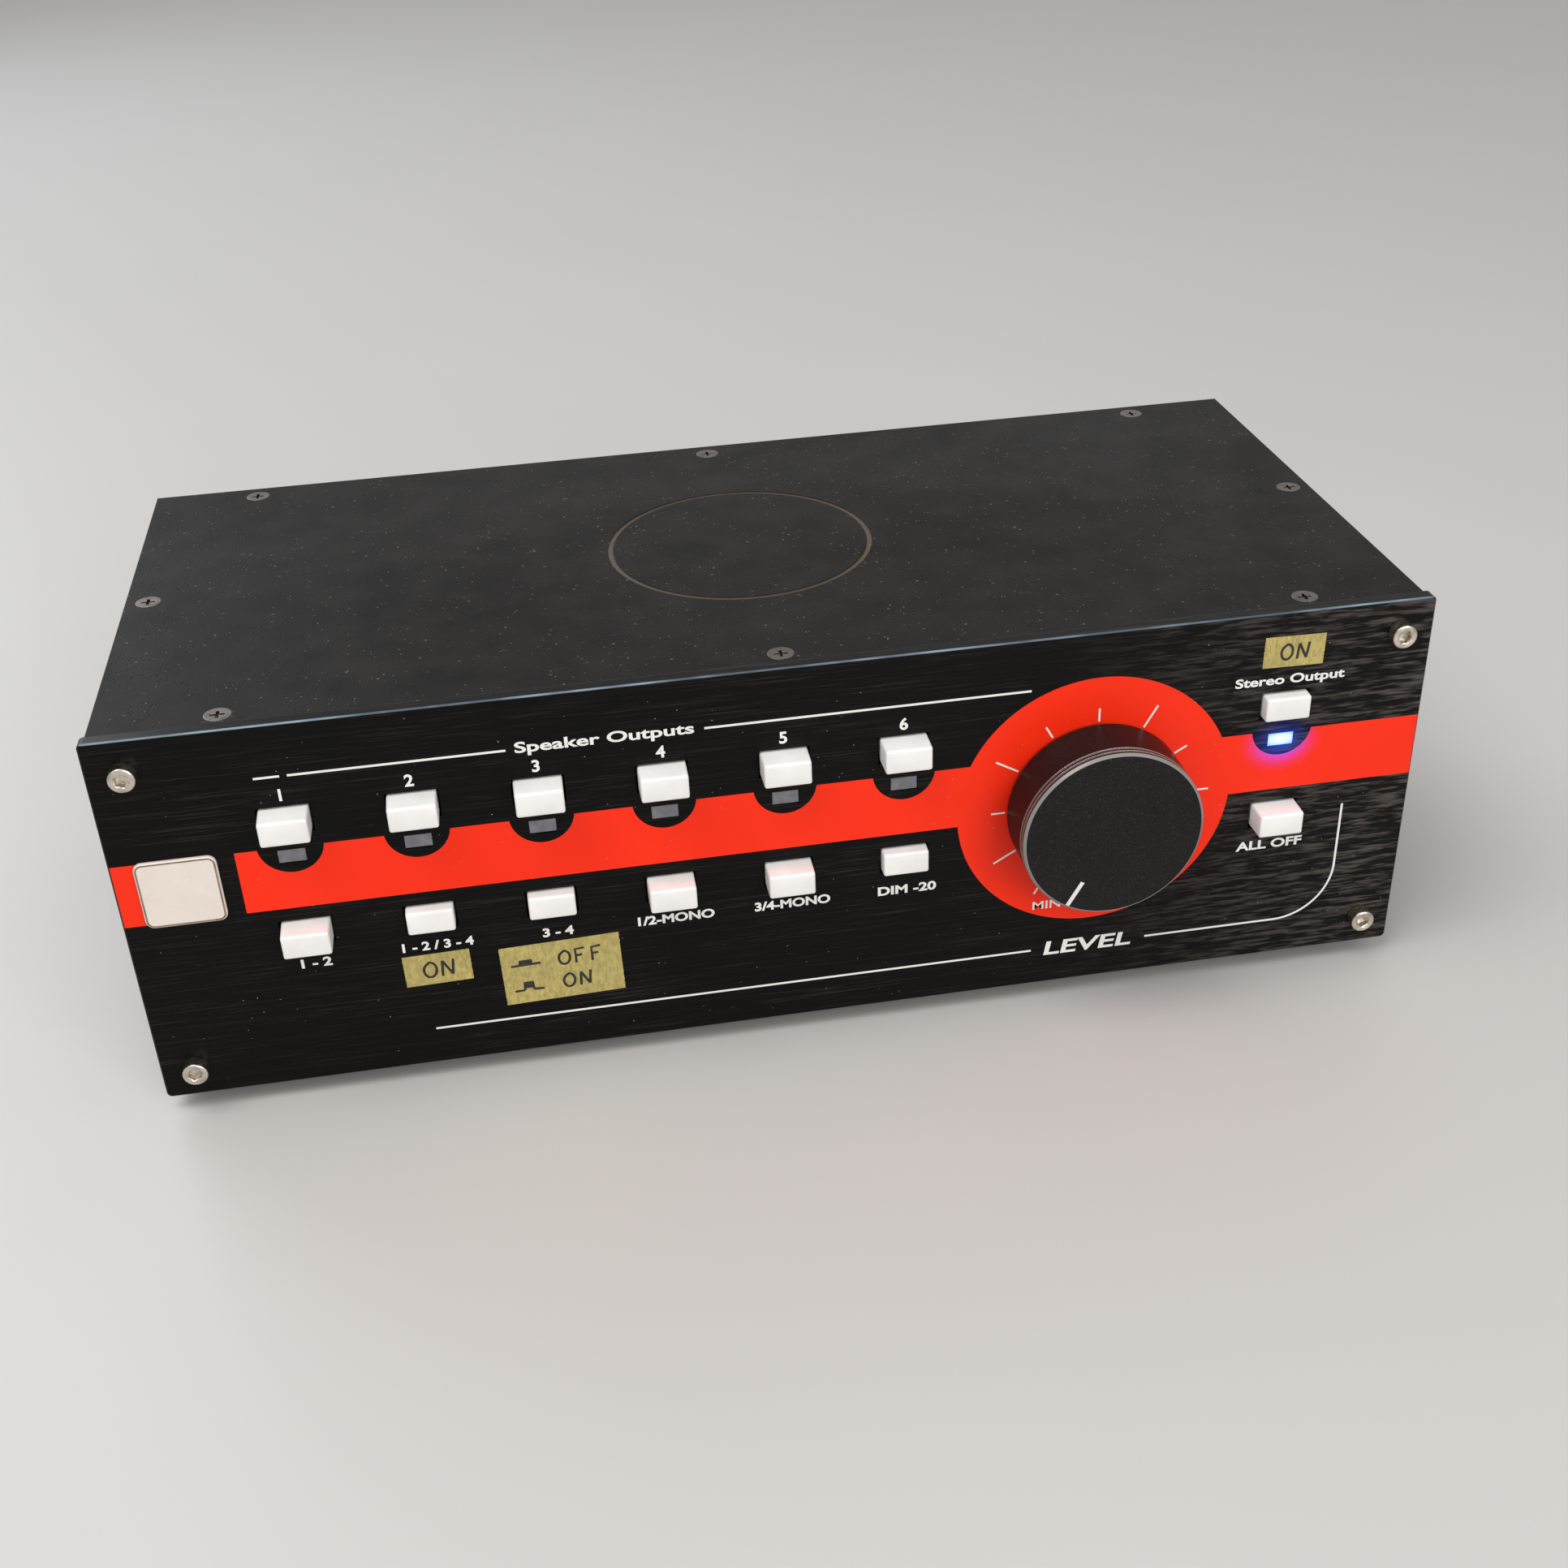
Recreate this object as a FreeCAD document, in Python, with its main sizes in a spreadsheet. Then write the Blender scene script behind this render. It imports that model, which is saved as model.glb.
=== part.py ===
import FreeCAD, Part
import os
import Sketcher

# Studio monitor controller, in millimetres.
# +X is right, +Y is back and +Z is up. The front panel faces -Y and the feet stand on z = 0.
# The whole assembly is centred on x = 0 and y = 0, from the knob's face to the jack sleeves.

doc = FreeCAD.newDocument("MonitorController")
sheet = doc.addObject("Spreadsheet::Sheet", "Sizes")


class Size:
    """A length that knows its spreadsheet expression and its present value."""

    def __init__(self, text, value):
        self.text = text
        self.value = value

    def _with(self, sign, other, swap=False):
        other = other if isinstance(other, Size) else Size(repr(other), float(other))
        left, right = (other, self) if swap else (self, other)
        results = {
            "+": left.value + right.value,
            "-": left.value - right.value,
            "*": left.value * right.value,
            "/": left.value / right.value if right.value else 0.0,
        }
        return Size("({} {} {})".format(left.text, sign, right.text), results[sign])

    def __add__(self, other):
        return self._with("+", other)

    def __radd__(self, other):
        return self._with("+", other, swap=True)

    def __sub__(self, other):
        return self._with("-", other)

    def __rsub__(self, other):
        return self._with("-", other, swap=True)

    def __mul__(self, other):
        return self._with("*", other)

    def __rmul__(self, other):
        return self._with("*", other, swap=True)

    def __truediv__(self, other):
        return self._with("/", other)


# Overall case
panel_width = 278
panel_height = 88
panel_thickness = 3
panel_corner = 1.2
panel_chamfer = 0.35
panel_lift = 4
case_depth = 125
side_inset = 1
top_inset = 0.8
bottom_inset = 1
sheet_steel = 1.5
cover_thickness = 2
flange_width = 11
foot_diameter = 14
foot_tip_diameter = 12
foot_inset = 18

# Front face layout, measured from the panel's edges and from row to row
column_pitch = 25.4
column_inset_left = 36
column_inset_right = 31.5
upper_row_drop = 22
led_drop = 8.6
lower_row_drop = 27.4
knob_shift = 0.45
knob_raise = 3.1
panel_screw_inset_x = 7.5
panel_screw_inset_z = 7.4
badge_width = 16.4
badge_height = 15.6
badge_thickness = 0.8
badge_inset = 13
badge_drop = 13.8
badge_corner = 1.8
badge_chamfer = 0.2
tape_thickness = 0.15
tape_left_width = 14.4
tape_left_height = 7.8
tape_left_shift = -0.2
tape_left_drop = 13.4
tape_left_turn = -1.2
tape_legend_width = 26
tape_legend_height = 15
tape_legend_shift = 0.6
tape_legend_drop = 17.7
tape_legend_turn = -1.5
tape_right_width = 13.6
tape_right_height = 7.2
tape_right_shift = 0.8
tape_right_rise = 12.8
tape_right_turn = 1
cover_ring = 61
cover_ring_width = 1.2
cover_ring_depth = 0.35

# Buttons, switches and LEDs
cap_width = 10.2
cap_height = 5.8
cap_chamfer = 0.5
cap_reach = 5.5
cap_tail = 3.5
cap_gap = 0.35
latch_travel = 3.1
press_travel = 3.6
plunger_side = 3.2
plunger_grip = 5
plunger_gap = 0.1
grip_gap = 0.02
switch_side = 8.4
switch_depth = 12
switch_bore = 10.8
plunger_depth = 6
led_width = 5.8
led_height = 3.2
led_sink = 0.25
led_body = 8
led_gap = 0.12
led_leg = 0.5
led_leg_pitch = 2.54

# Volume control
knob_diameter = 39.4
knob_length = 13
knob_gap = 0.8
knob_chamfer = 0.5
knob_hollow = 28
knob_hollow_depth = 4.2
knob_groove = 0.45
knob_groove_first = 1.1
knob_groove_second = 2.3
pointer_length = 6.4
pointer_width = 1
pointer_depth = 0.5
pointer_edge = 0.6
pointer_angle = 150
shaft_diameter = 6
shaft_gap = 0.05
shaft_grip = 7.5
bushing_diameter = 9
bushing_reach = 3.4
pot_side = 25
pot_gangs = 6
pot_gang_depth = 7
pot_gang_slot = 1
pot_slot_depth = 1.5
pot_bore_depth = 34
shaft_end_gap = 2
board_pot_gap = 1.5
nut_flats = 12
nut_thickness = 2
set_screw_diameter = 3
set_screw_length = 6
set_screw_flats = 1.5
set_screw_socket = 1.5
set_screw_setback = 1.8

# Boards
board_thickness = 1.6
board_stand_off = 20
board_side_gap = 14
board_bottom = 19
board_top_gap = 4.2
window_left = 8
window_right = 8.5
window_below = 8.6
window_above = 6
spacer_diameter = 6
spacer_inset = 20
spacer_edge = 4.5

# Screws
screw_diameter = 3
screw_clearance = 0.2
thread_clearance = 0.05
socket_head = 5.5
socket_head_height = 3
socket_flats = 2.5
socket_depth = 1.6
panel_screw_length = 10
countersunk_head = 5.6
countersunk_depth = 1.5
cover_screw_length = 7
cover_screw_edge = 5
cover_screw_inset = 25
cross_width = 0.7
cross_length = 3
cross_depth = 0.9
pan_head = 5.6
pan_head_height = 2
pan_screw_length = 6

# Rear connectors
rear_reach = 7
rear_margin = 20
rear_bottom_gap = 12.5
rear_top_gap = 11.7
rear_screw_inset = 8
connector_depth = 20
connector_raise = 0.5
jack_pitch = 20
jack_inset = 50
jack_side = 16
jack_body_height = 18
jack_thread = 9
jack_bore = 6.45
jack_bore_depth = 24
jack_row_gap = 24
jack_nut_flats = 12
jack_nut_thickness = 2
multipin_inset = 22.5
multipin_gap = 5
multipin_width = 38.4
multipin_height = 7.9
multipin_slant = 1.4
multipin_ear = 2.98
multipin_flange_height = 12.5
multipin_flange = 2
multipin_reach = 5.5
multipin_skirt = 1
multipin_hole_depth = 5
multipin_hole = 1.1
multipin_hole_pitch = 2.77
multipin_row_pitch = 2.84
post_spacing = 47.04
post_flats = 5
post_length = 5
post_bore = 2.6
post_bore_depth = 4
inlet_inset = 28
inlet_side = 9
inlet_bore = 5.8
inlet_reach = 1.2
inlet_bore_depth = 9
inlet_pin_diameter = 1.9
inlet_pin_sink = 1.5
cutout_gap = 0.3
connector_board_gap = 1.5
link_width = 26
link_height = 21
link_centre_x = -20


def driving(row, alias, value):
    """Write one driving dimension into the sheet."""
    sheet.set("A{}".format(row), alias)
    sheet.set("B{}".format(row), str(value))
    sheet.setAlias("B{}".format(row), alias)
    return Size("Sizes." + alias, float(value))


# Each number named above drives the model through its own cell
numbers = [name for name, value in globals().items() if isinstance(value, (int, float))]
for row, name in enumerate(numbers, 1):
    globals()[name] = driving(row, name, globals()[name])

doc.recompute()

# Places worked out from the driving dimensions
front = (knob_gap + knob_length - panel_thickness - case_depth - rear_reach) / 2
panel_back = front + panel_thickness
case_back = panel_back + case_depth
rear_inside = case_back - sheet_steel
case_half = panel_width / 2 - side_inset
case_bottom = panel_lift + bottom_inset
cover_top = panel_lift + panel_height - top_inset
cover_bottom = cover_top - cover_thickness
floor_top = case_bottom + sheet_steel
flange_bottom = cover_bottom - sheet_steel
wall_back = panel_back + sheet_steel
board_front = panel_back + board_stand_off
board_back = board_front + board_thickness
board_half = case_half - board_side_gap
board_top = cover_bottom - board_top_gap
switch_front = board_front - switch_depth
column_count = 6
first_column = column_inset_left - panel_width / 2
last_column = first_column + column_pitch * (column_count - 1)
right_column = panel_width / 2 - column_inset_right
upper_row = panel_height - upper_row_drop
led_row = upper_row - led_drop
lower_row = upper_row - lower_row_drop
knob_x = (last_column + right_column) / 2 + knob_shift
knob_z = panel_lift + panel_height / 2 + knob_raise
knob_back = front - knob_gap
knob_front = knob_back - knob_length
window_min_x = first_column - window_left
window_max_x = right_column + window_right
rear_low = floor_top + rear_bottom_gap
rear_high = flange_bottom - rear_top_gap
connector_z = (rear_low + rear_high) / 2 + connector_raise
jack_first = case_half - jack_inset - jack_pitch
inlet_x = case_half - inlet_inset
multipin_flange_width = post_spacing + multipin_ear * 2
multipin_pitch = multipin_flange_width + multipin_gap
multipin_first = multipin_inset + multipin_flange_width / 2 - case_half
multipin_room = jack_first - jack_side / 2 - multipin_inset + case_half + multipin_gap
multipin_count = int((multipin_room / multipin_pitch).value)
connector_board_y = rear_inside - connector_depth - board_thickness

# Cutting pieces run this far past the face that they cut through
past = 1
FLATS_TO_RADIUS = 3 ** -0.5

ALONG_Y = FreeCAD.Rotation(FreeCAD.Vector(1, 0, 0), -90)
UPRIGHT = FreeCAD.Rotation()
exported = []


def bind(obj, prop, size):
    """Tie a property to the sheet. A plain number is bound as a constant."""
    obj.setExpression(prop, size.text if isinstance(size, Size) else repr(float(size)))


def value_of(size):
    return size.value if isinstance(size, Size) else float(size)


def place(obj, x, y, z, rotation=UPRIGHT):
    obj.Placement = FreeCAD.Placement(FreeCAD.Vector(0, 0, 0), rotation)
    for axis, size in zip("xyz", (x, y, z)):
        bind(obj, "Placement.Base." + axis, size)
    return obj


def block(name, x, y, z, width, depth, height):
    """A box from its centre in x, its front in y and its centre in z."""
    obj = doc.addObject("Part::Box", name)
    bind(obj, "Length", width)
    bind(obj, "Width", depth)
    bind(obj, "Height", height)
    return place(obj, x - width / 2, y, z - height / 2)


def slab(name, low_x, high_x, low_y, high_y, low_z, high_z):
    """A box from its limits on each axis."""
    obj = doc.addObject("Part::Box", name)
    bind(obj, "Length", high_x - low_x)
    bind(obj, "Width", high_y - low_y)
    bind(obj, "Height", high_z - low_z)
    return place(obj, low_x, low_y, low_z)


def rod(name, x, y, z, diameter, length, rotation=ALONG_Y):
    obj = doc.addObject("Part::Cylinder", name)
    bind(obj, "Radius", diameter / 2)
    bind(obj, "Height", length)
    return place(obj, x, y, z, rotation)


def cone(name, x, y, z, low_diameter, high_diameter, length, rotation=ALONG_Y):
    obj = doc.addObject("Part::Cone", name)
    bind(obj, "Radius1", low_diameter / 2)
    bind(obj, "Radius2", high_diameter / 2)
    bind(obj, "Height", length)
    return place(obj, x, y, z, rotation)


def hexagon(name, x, y, z, flats, length, rotation=ALONG_Y):
    obj = doc.addObject("Part::Prism", name)
    obj.Polygon = 6
    bind(obj, "Circumradius", flats * FLATS_TO_RADIUS)
    bind(obj, "Height", length)
    return place(obj, x, y, z, rotation)


def joined(name, pieces):
    obj = doc.addObject("Part::MultiFuse", name)
    obj.Shapes = pieces
    obj.Refine = True
    return obj


def without(name, base, tools):
    tool = tools[0] if len(tools) == 1 else joined(name + "_tools", tools)
    obj = doc.addObject("Part::Cut", name)
    obj.Base = base
    obj.Tool = tool
    obj.Refine = True
    return obj


def repeated(name, master, places):
    """One node made of separate copies of a master piece, moved by each (x, y, z) offset."""
    doc.recompute()
    copies = []
    for offset in places:
        values = [value_of(size) for size in offset]
        copies.append(master.Shape.translated(FreeCAD.Vector(*values)))
    obj = doc.addObject("Part::Feature", name)
    obj.Shape = Part.makeCompound(copies)
    return export_as(obj, name)


def export_as(obj, label):
    obj.Label = label
    exported.append(obj)
    return obj


def body_on(name, role, x, y, z):
    """A body and the origin plane that its sketches use."""
    body = doc.addObject("PartDesign::Body", name)
    place(body, x, y, z)
    plane = [item for item in body.Origin.OriginFeatures if item.Role == role][0]
    return body, plane


def sketch_on(body, plane, name):
    sketch = body.newObject("Sketcher::SketchObject", name)
    sketch.AttachmentSupport = [(plane, "")]
    sketch.MapMode = "FlatFace"
    return sketch


def constrain(sketch, kind, elements, name, size):
    """Add a signed dimension to a sketch and tie it to the sheet."""
    index = sketch.addConstraint(Sketcher.Constraint(kind, *elements, value_of(size)))
    sketch.renameConstraint(index, name)
    bind(sketch, "Constraints." + name, size)


def sketch_rectangle(sketch, name, x, z, width, height):
    """A rectangle given by its centre and its sides, with every side fixed by a named size."""
    low_x = x - width / 2
    low_z = z - height / 2
    left, right = value_of(low_x), value_of(x + width / 2)
    bottom, top = value_of(low_z), value_of(z + height / 2)
    corners = [(left, bottom), (right, bottom), (right, top), (left, top)]
    lines = []
    for start, end in zip(corners, corners[1:] + corners[:1]):
        segment = Part.LineSegment(FreeCAD.Vector(*start, 0), FreeCAD.Vector(*end, 0))
        lines.append(sketch.addGeometry(segment))
    for number in range(4):
        following = lines[(number + 1) % 4]
        sketch.addConstraint(Sketcher.Constraint("Coincident", lines[number], 2, following, 1))
        direction = "Horizontal" if number % 2 == 0 else "Vertical"
        sketch.addConstraint(Sketcher.Constraint(direction, lines[number]))
    constrain(sketch, "DistanceX", (-1, 1, lines[0], 1), name + "_left", low_x)
    constrain(sketch, "DistanceY", (-1, 1, lines[0], 1), name + "_bottom", low_z)
    constrain(sketch, "DistanceX", (lines[0], 1, lines[0], 2), name + "_width", width)
    constrain(sketch, "DistanceY", (lines[1], 1, lines[1], 2), name + "_height", height)


def sketch_circle(sketch, name, x, z, diameter):
    centre = FreeCAD.Vector(value_of(x), value_of(z), 0)
    circle = sketch.addGeometry(Part.Circle(centre, FreeCAD.Vector(0, 0, 1), value_of(diameter) / 2))
    constrain(sketch, "DistanceX", (-1, 1, circle, 3), name + "_x", x)
    constrain(sketch, "DistanceY", (-1, 1, circle, 3), name + "_z", z)
    constrain(sketch, "Diameter", (circle,), name + "_diameter", diameter)


def pad_back(body, sketch, name, length):
    """Extrude a sketch on the XZ plane towards +Y."""
    pad = body.newObject("PartDesign::Pad", name)
    pad.Profile = sketch
    pad.Reversed = True
    bind(pad, "Length", length)
    body.Tip = pad
    doc.recompute()
    return pad


def pocket_through(body, sketch, name):
    volume = body.Shape.Volume
    pocket = body.newObject("PartDesign::Pocket", name)
    pocket.Profile = sketch
    pocket.Type = "ThroughAll"
    body.Tip = pocket
    doc.recompute()
    if body.Shape.Volume >= volume:
        raise RuntimeError(name + " cuts nothing")
    return pocket


def repeat_right(body, feature, name, length, count):
    """Repeat a pocket towards +X, with its last copy at the given length."""
    volume = body.Shape.Volume
    pattern = body.newObject("PartDesign::LinearPattern", name)
    pattern.Originals = [feature]
    x_axis = [item for item in body.Origin.OriginFeatures if item.Role == "X_Axis"][0]
    pattern.Direction = (x_axis, [""])
    bind(pattern, "Length", length)
    pattern.Occurrences = count
    body.Tip = pattern
    doc.recompute()
    if body.Shape.Volume >= volume:
        raise RuntimeError(name + " repeats nothing")
    return pattern


def edges_along(shape, axis):
    """Names of the straight edges that run along one axis."""
    names = []
    for number, edge in enumerate(shape.Edges, 1):
        if len(edge.Vertexes) == 2 and edge.Curve.TypeId == "Part::GeomLine":
            start, end = [vertex.Point for vertex in edge.Vertexes]
            spans = [abs(end[i] - start[i]) for i in range(3)]
            if spans[axis] > 1e-6 and sum(spans) - spans[axis] < 1e-6:
                names.append("Edge{}".format(number))
    return names


def edges_in_plane(shape, axis, value):
    """Names of the edges that lie in the plane where one coordinate has the given value."""
    names = []
    for number, edge in enumerate(shape.Edges, 1):
        box = edge.BoundBox
        low = (box.XMin, box.YMin, box.ZMin)[axis]
        high = (box.XMax, box.YMax, box.ZMax)[axis]
        if abs(low - value) < 1e-4 and abs(high - value) < 1e-4:
            names.append("Edge{}".format(number))
    return names


def round_corners(body, name, base, radius):
    fillet = body.newObject("PartDesign::Fillet", name)
    fillet.Base = (base, edges_along(base.Shape, 1))
    bind(fillet, "Radius", radius)
    body.Tip = fillet
    doc.recompute()
    return fillet


def chamfer_front(body, name, base, size):
    """Chamfer the outline of the face at the front, which is local y = 0."""
    chamfer = body.newObject("PartDesign::Chamfer", name)
    chamfer.Base = (base, edges_in_plane(base.Shape, 1, 0))
    bind(chamfer, "Size", size)
    body.Tip = chamfer
    doc.recompute()
    return chamfer


def plate(name, x, y, z, width, thickness, height, corner=None, chamfer=None):
    """An upright plate made from one sketch, with optional round corners and front chamfer."""
    body, plane = body_on(name, "XZ_Plane", x, y, z)
    outline = sketch_on(body, plane, name + "_outline")
    sketch_rectangle(outline, "outline", 0, 0, width, height)
    base = pad_back(body, outline, name + "_pad", thickness)
    if corner is not None:
        base = round_corners(body, name + "_corners", base, corner)
    if chamfer is not None:
        chamfer_front(body, name + "_edge", base, chamfer)
    return export_as(body, name)


columns = [(number, first_column + column_pitch * number) for number in range(column_count)]
cap_window_width = cap_width + cap_gap * 2
cap_window_height = cap_height + cap_gap * 2
screw_x = panel_width / 2 - panel_screw_inset_x
screw_low = panel_lift + panel_screw_inset_z
screw_high = panel_lift + panel_height - panel_screw_inset_z
corner_screws = [(side * screw_x, height) for side in (-1, 1) for height in (screw_low, screw_high)]
screw_hole = screw_diameter + screw_clearance * 2
thread_hole = screw_diameter + thread_clearance * 2


def make_front_panel():
    half = panel_height / 2
    body, plane = body_on("front_panel", "XZ_Plane", 0, front, panel_lift + half)
    outline = sketch_on(body, plane, "panel_outline")
    sketch_rectangle(outline, "outline", 0, 0, panel_width, panel_height)
    base = pad_back(body, outline, "panel_pad", panel_thickness)
    base = round_corners(body, "panel_corners", base, panel_corner)
    chamfer_front(body, "panel_edge", base, panel_chamfer)

    windows = sketch_on(body, plane, "column_windows")
    sketch_rectangle(windows, "upper", first_column, upper_row - half, cap_window_width,
                     cap_window_height)
    sketch_rectangle(windows, "lower", first_column, lower_row - half, cap_window_width,
                     cap_window_height)
    sketch_rectangle(windows, "led", first_column, led_row - half, led_width, led_height)
    first = pocket_through(body, windows, "first_windows")
    repeat_right(body, first, "window_columns", column_pitch * (column_count - 1), column_count)

    right = sketch_on(body, plane, "right_windows")
    sketch_rectangle(right, "upper", right_column, upper_row - half, cap_window_width,
                     cap_window_height)
    sketch_rectangle(right, "lower", right_column, lower_row - half, cap_window_width,
                     cap_window_height)
    sketch_rectangle(right, "led", right_column, led_row - half, led_width, led_height)
    pocket_through(body, right, "right_window_cut")

    holes = sketch_on(body, plane, "round_holes")
    sketch_circle(holes, "bushing", knob_x, knob_z - panel_lift - half,
                  bushing_diameter + screw_clearance * 2)
    for number, (x, z) in enumerate(corner_screws):
        sketch_circle(holes, "screw{}".format(number), x, z - panel_lift - half, screw_hole)
    pocket_through(body, holes, "round_hole_cut")
    export_as(body, "front_panel")


def make_badge_and_tapes():
    plate("badge_plate", badge_inset - panel_width / 2, front - badge_thickness,
          panel_lift + upper_row - badge_drop, badge_width, badge_thickness, badge_height,
          corner=badge_corner, chamfer=badge_chamfer)
    second_column = first_column + column_pitch
    tapes = (
        ("tape_left", second_column + tape_left_shift, lower_row - tape_left_drop,
         tape_left_width, tape_left_height, tape_left_turn),
        ("tape_legend", second_column + column_pitch + tape_legend_shift,
         lower_row - tape_legend_drop, tape_legend_width, tape_legend_height, tape_legend_turn),
        ("tape_right", right_column + tape_right_shift, upper_row + tape_right_rise,
         tape_right_width, tape_right_height, tape_right_turn),
    )
    for name, x, z, width, height, angle in tapes:
        strip = plate(name, x, front - tape_thickness, panel_lift + z, width, tape_thickness, height)
        strip.Placement.Rotation = FreeCAD.Rotation(FreeCAD.Vector(0, 1, 0), angle.value)


cover_screw_rows = (panel_back + cover_screw_edge, panel_back + case_depth / 2,
                    case_back - cover_screw_edge)
cover_screw_places = [
    (side * (case_half - cover_screw_inset), row)
    for row in (cover_screw_rows[0], cover_screw_rows[2])
    for side in (-1, 0, 1)
]
cover_screw_places += [(side * (case_half - cover_screw_edge), cover_screw_rows[1]) for side in (-1, 1)]

rear_screw_z = (panel_lift + rear_screw_inset, flange_bottom - rear_screw_inset)
rear_screw_x = (-1 * case_half + rear_screw_inset, 0, case_half - rear_screw_inset)
rear_screw_places = [(x, z) for x in rear_screw_x for z in rear_screw_z]
board_bottom_z = panel_lift + board_bottom
spacer_places = [
    (x, z)
    for x in (-1 * case_half + spacer_inset, 0, case_half - spacer_inset)
    for z in (board_bottom_z + spacer_edge, board_top - spacer_edge)
]


def make_chassis_tray():
    shell = slab("tray_outside", -1 * case_half, case_half, panel_back, rear_inside, case_bottom,
                 cover_bottom)
    inside = slab("tray_inside", sheet_steel - case_half, case_half - sheet_steel, wall_back,
                  rear_inside - sheet_steel, floor_top, flange_bottom)
    top_opening = slab("tray_top_opening", flange_width - case_half, case_half - flange_width,
                       panel_back + flange_width, rear_inside - flange_width,
                       flange_bottom - past, cover_bottom + past)
    window = slab("tray_window", window_min_x, window_max_x, panel_back - past, wall_back + past,
                  panel_lift + lower_row - window_below, panel_lift + upper_row + window_above)
    rear_opening = slab("tray_rear_opening", rear_margin - case_half, case_half - rear_margin,
                        rear_inside - sheet_steel - past, rear_inside + past, rear_low, rear_high)
    tools = [inside, top_opening, window, rear_opening]
    for number, (x, z) in enumerate(corner_screws):
        tools.append(rod("tray_front_hole{}".format(number), x, panel_back - past, z, thread_hole,
                         sheet_steel + past * 2))
    for number, (x, y) in enumerate(cover_screw_places):
        tools.append(rod("tray_top_hole{}".format(number), x, y, flange_bottom - past, thread_hole,
                         sheet_steel + past * 2, UPRIGHT))
    for number, (x, z) in enumerate(rear_screw_places):
        tools.append(rod("tray_rear_hole{}".format(number), x, rear_inside - sheet_steel - past, z,
                         thread_hole,
                         sheet_steel + past * 2))
    export_as(without("chassis_tray", shell, tools), "chassis_tray")


def make_top_cover():
    sheet_metal = slab("cover_sheet", -1 * case_half, case_half, panel_back, case_back, cover_bottom,
                       cover_top)
    tools = []
    for number, (x, y) in enumerate(cover_screw_places):
        tools.append(rod("cover_hole{}".format(number), x, y, cover_bottom - past, screw_hole,
                         cover_thickness + past * 2, UPRIGHT))
        tools.append(cone("cover_sink{}".format(number), x, y, cover_top - countersunk_depth,
                          screw_diameter,
                          countersunk_head, countersunk_depth, UPRIGHT))
    middle = panel_back + case_depth / 2
    ring = rod("cover_ring_outside", 0, middle, cover_top - cover_ring_depth, cover_ring,
               cover_ring_depth + past, UPRIGHT)
    core = rod("cover_ring_inside", 0, middle, cover_top - cover_ring_depth - past,
               cover_ring - cover_ring_width * 2, cover_ring_depth + past * 3, UPRIGHT)
    tools.append(without("cover_ring", ring, [core]))
    export_as(without("top_cover", sheet_metal, tools), "top_cover")


def cross_recess(name, x, y, z, rotation):
    """Two crossed slots that a cross driver fits, sunk from the given point."""
    slots = []
    for number, (width, height) in enumerate(((cross_width, cross_length), (cross_length,
                                                                            cross_width))):
        slot = doc.addObject("Part::Box", "{}_{}".format(name, number))
        bind(slot, "Length", width)
        bind(slot, "Width", height)
        bind(slot, "Height", cross_depth * 2)
        if rotation is UPRIGHT:
            place(slot, x - width / 2, y - height / 2, z - cross_depth)
        else:
            place(slot, x - width / 2, y - cross_depth, z + height / 2, rotation)
        slots.append(slot)
    return slots


def make_panel_screws():
    head = rod("socket_head", 0, front - socket_head_height, 0, socket_head, socket_head_height)
    shank = rod("socket_shank", 0, front, 0, screw_diameter, panel_screw_length)
    recess = hexagon("socket_recess", 0, front - socket_head_height - past, 0, socket_flats,
                     socket_depth + past)
    screw = without("socket_screw", joined("socket_blank", [head, shank]), [recess])
    repeated("panel_screws", screw, [(x, 0, z) for x, z in corner_screws])


def make_cover_screws():
    head = cone("flat_head", 0, 0, cover_top - countersunk_depth, screw_diameter, countersunk_head,
                countersunk_depth, UPRIGHT)
    shank = rod("flat_shank", 0, 0, cover_top - cover_screw_length, screw_diameter, cover_screw_length,
                UPRIGHT)
    blank = joined("flat_blank", [head, shank])
    screw = without("flat_screw", blank, cross_recess("flat_cross", 0, 0, cover_top, UPRIGHT))
    repeated("cover_screws", screw, [(x, y, 0) for x, y in cover_screw_places])


def make_rear_screws():
    head = rod("rear_head", 0, case_back, 0, pan_head, pan_head_height)
    shank = rod("rear_shank", 0, case_back - pan_screw_length, 0, screw_diameter, pan_screw_length)
    blank = joined("rear_blank", [head, shank])
    recess = cross_recess("rear_cross", 0, case_back + pan_head_height, 0, ALONG_Y)
    screw = without("rear_screw", blank, recess)
    repeated("rear_screws", screw, [(x, 0, z) for x, z in rear_screw_places])


def make_feet():
    foot = cone("foot", 0, 0, 0, foot_tip_diameter, foot_diameter, case_bottom, UPRIGHT)
    rows = (panel_back + foot_inset, case_back - foot_inset)
    places = [(side * (case_half - foot_inset), row, 0) for side in (-1, 1) for row in rows]
    repeated("feet", foot, places)


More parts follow.
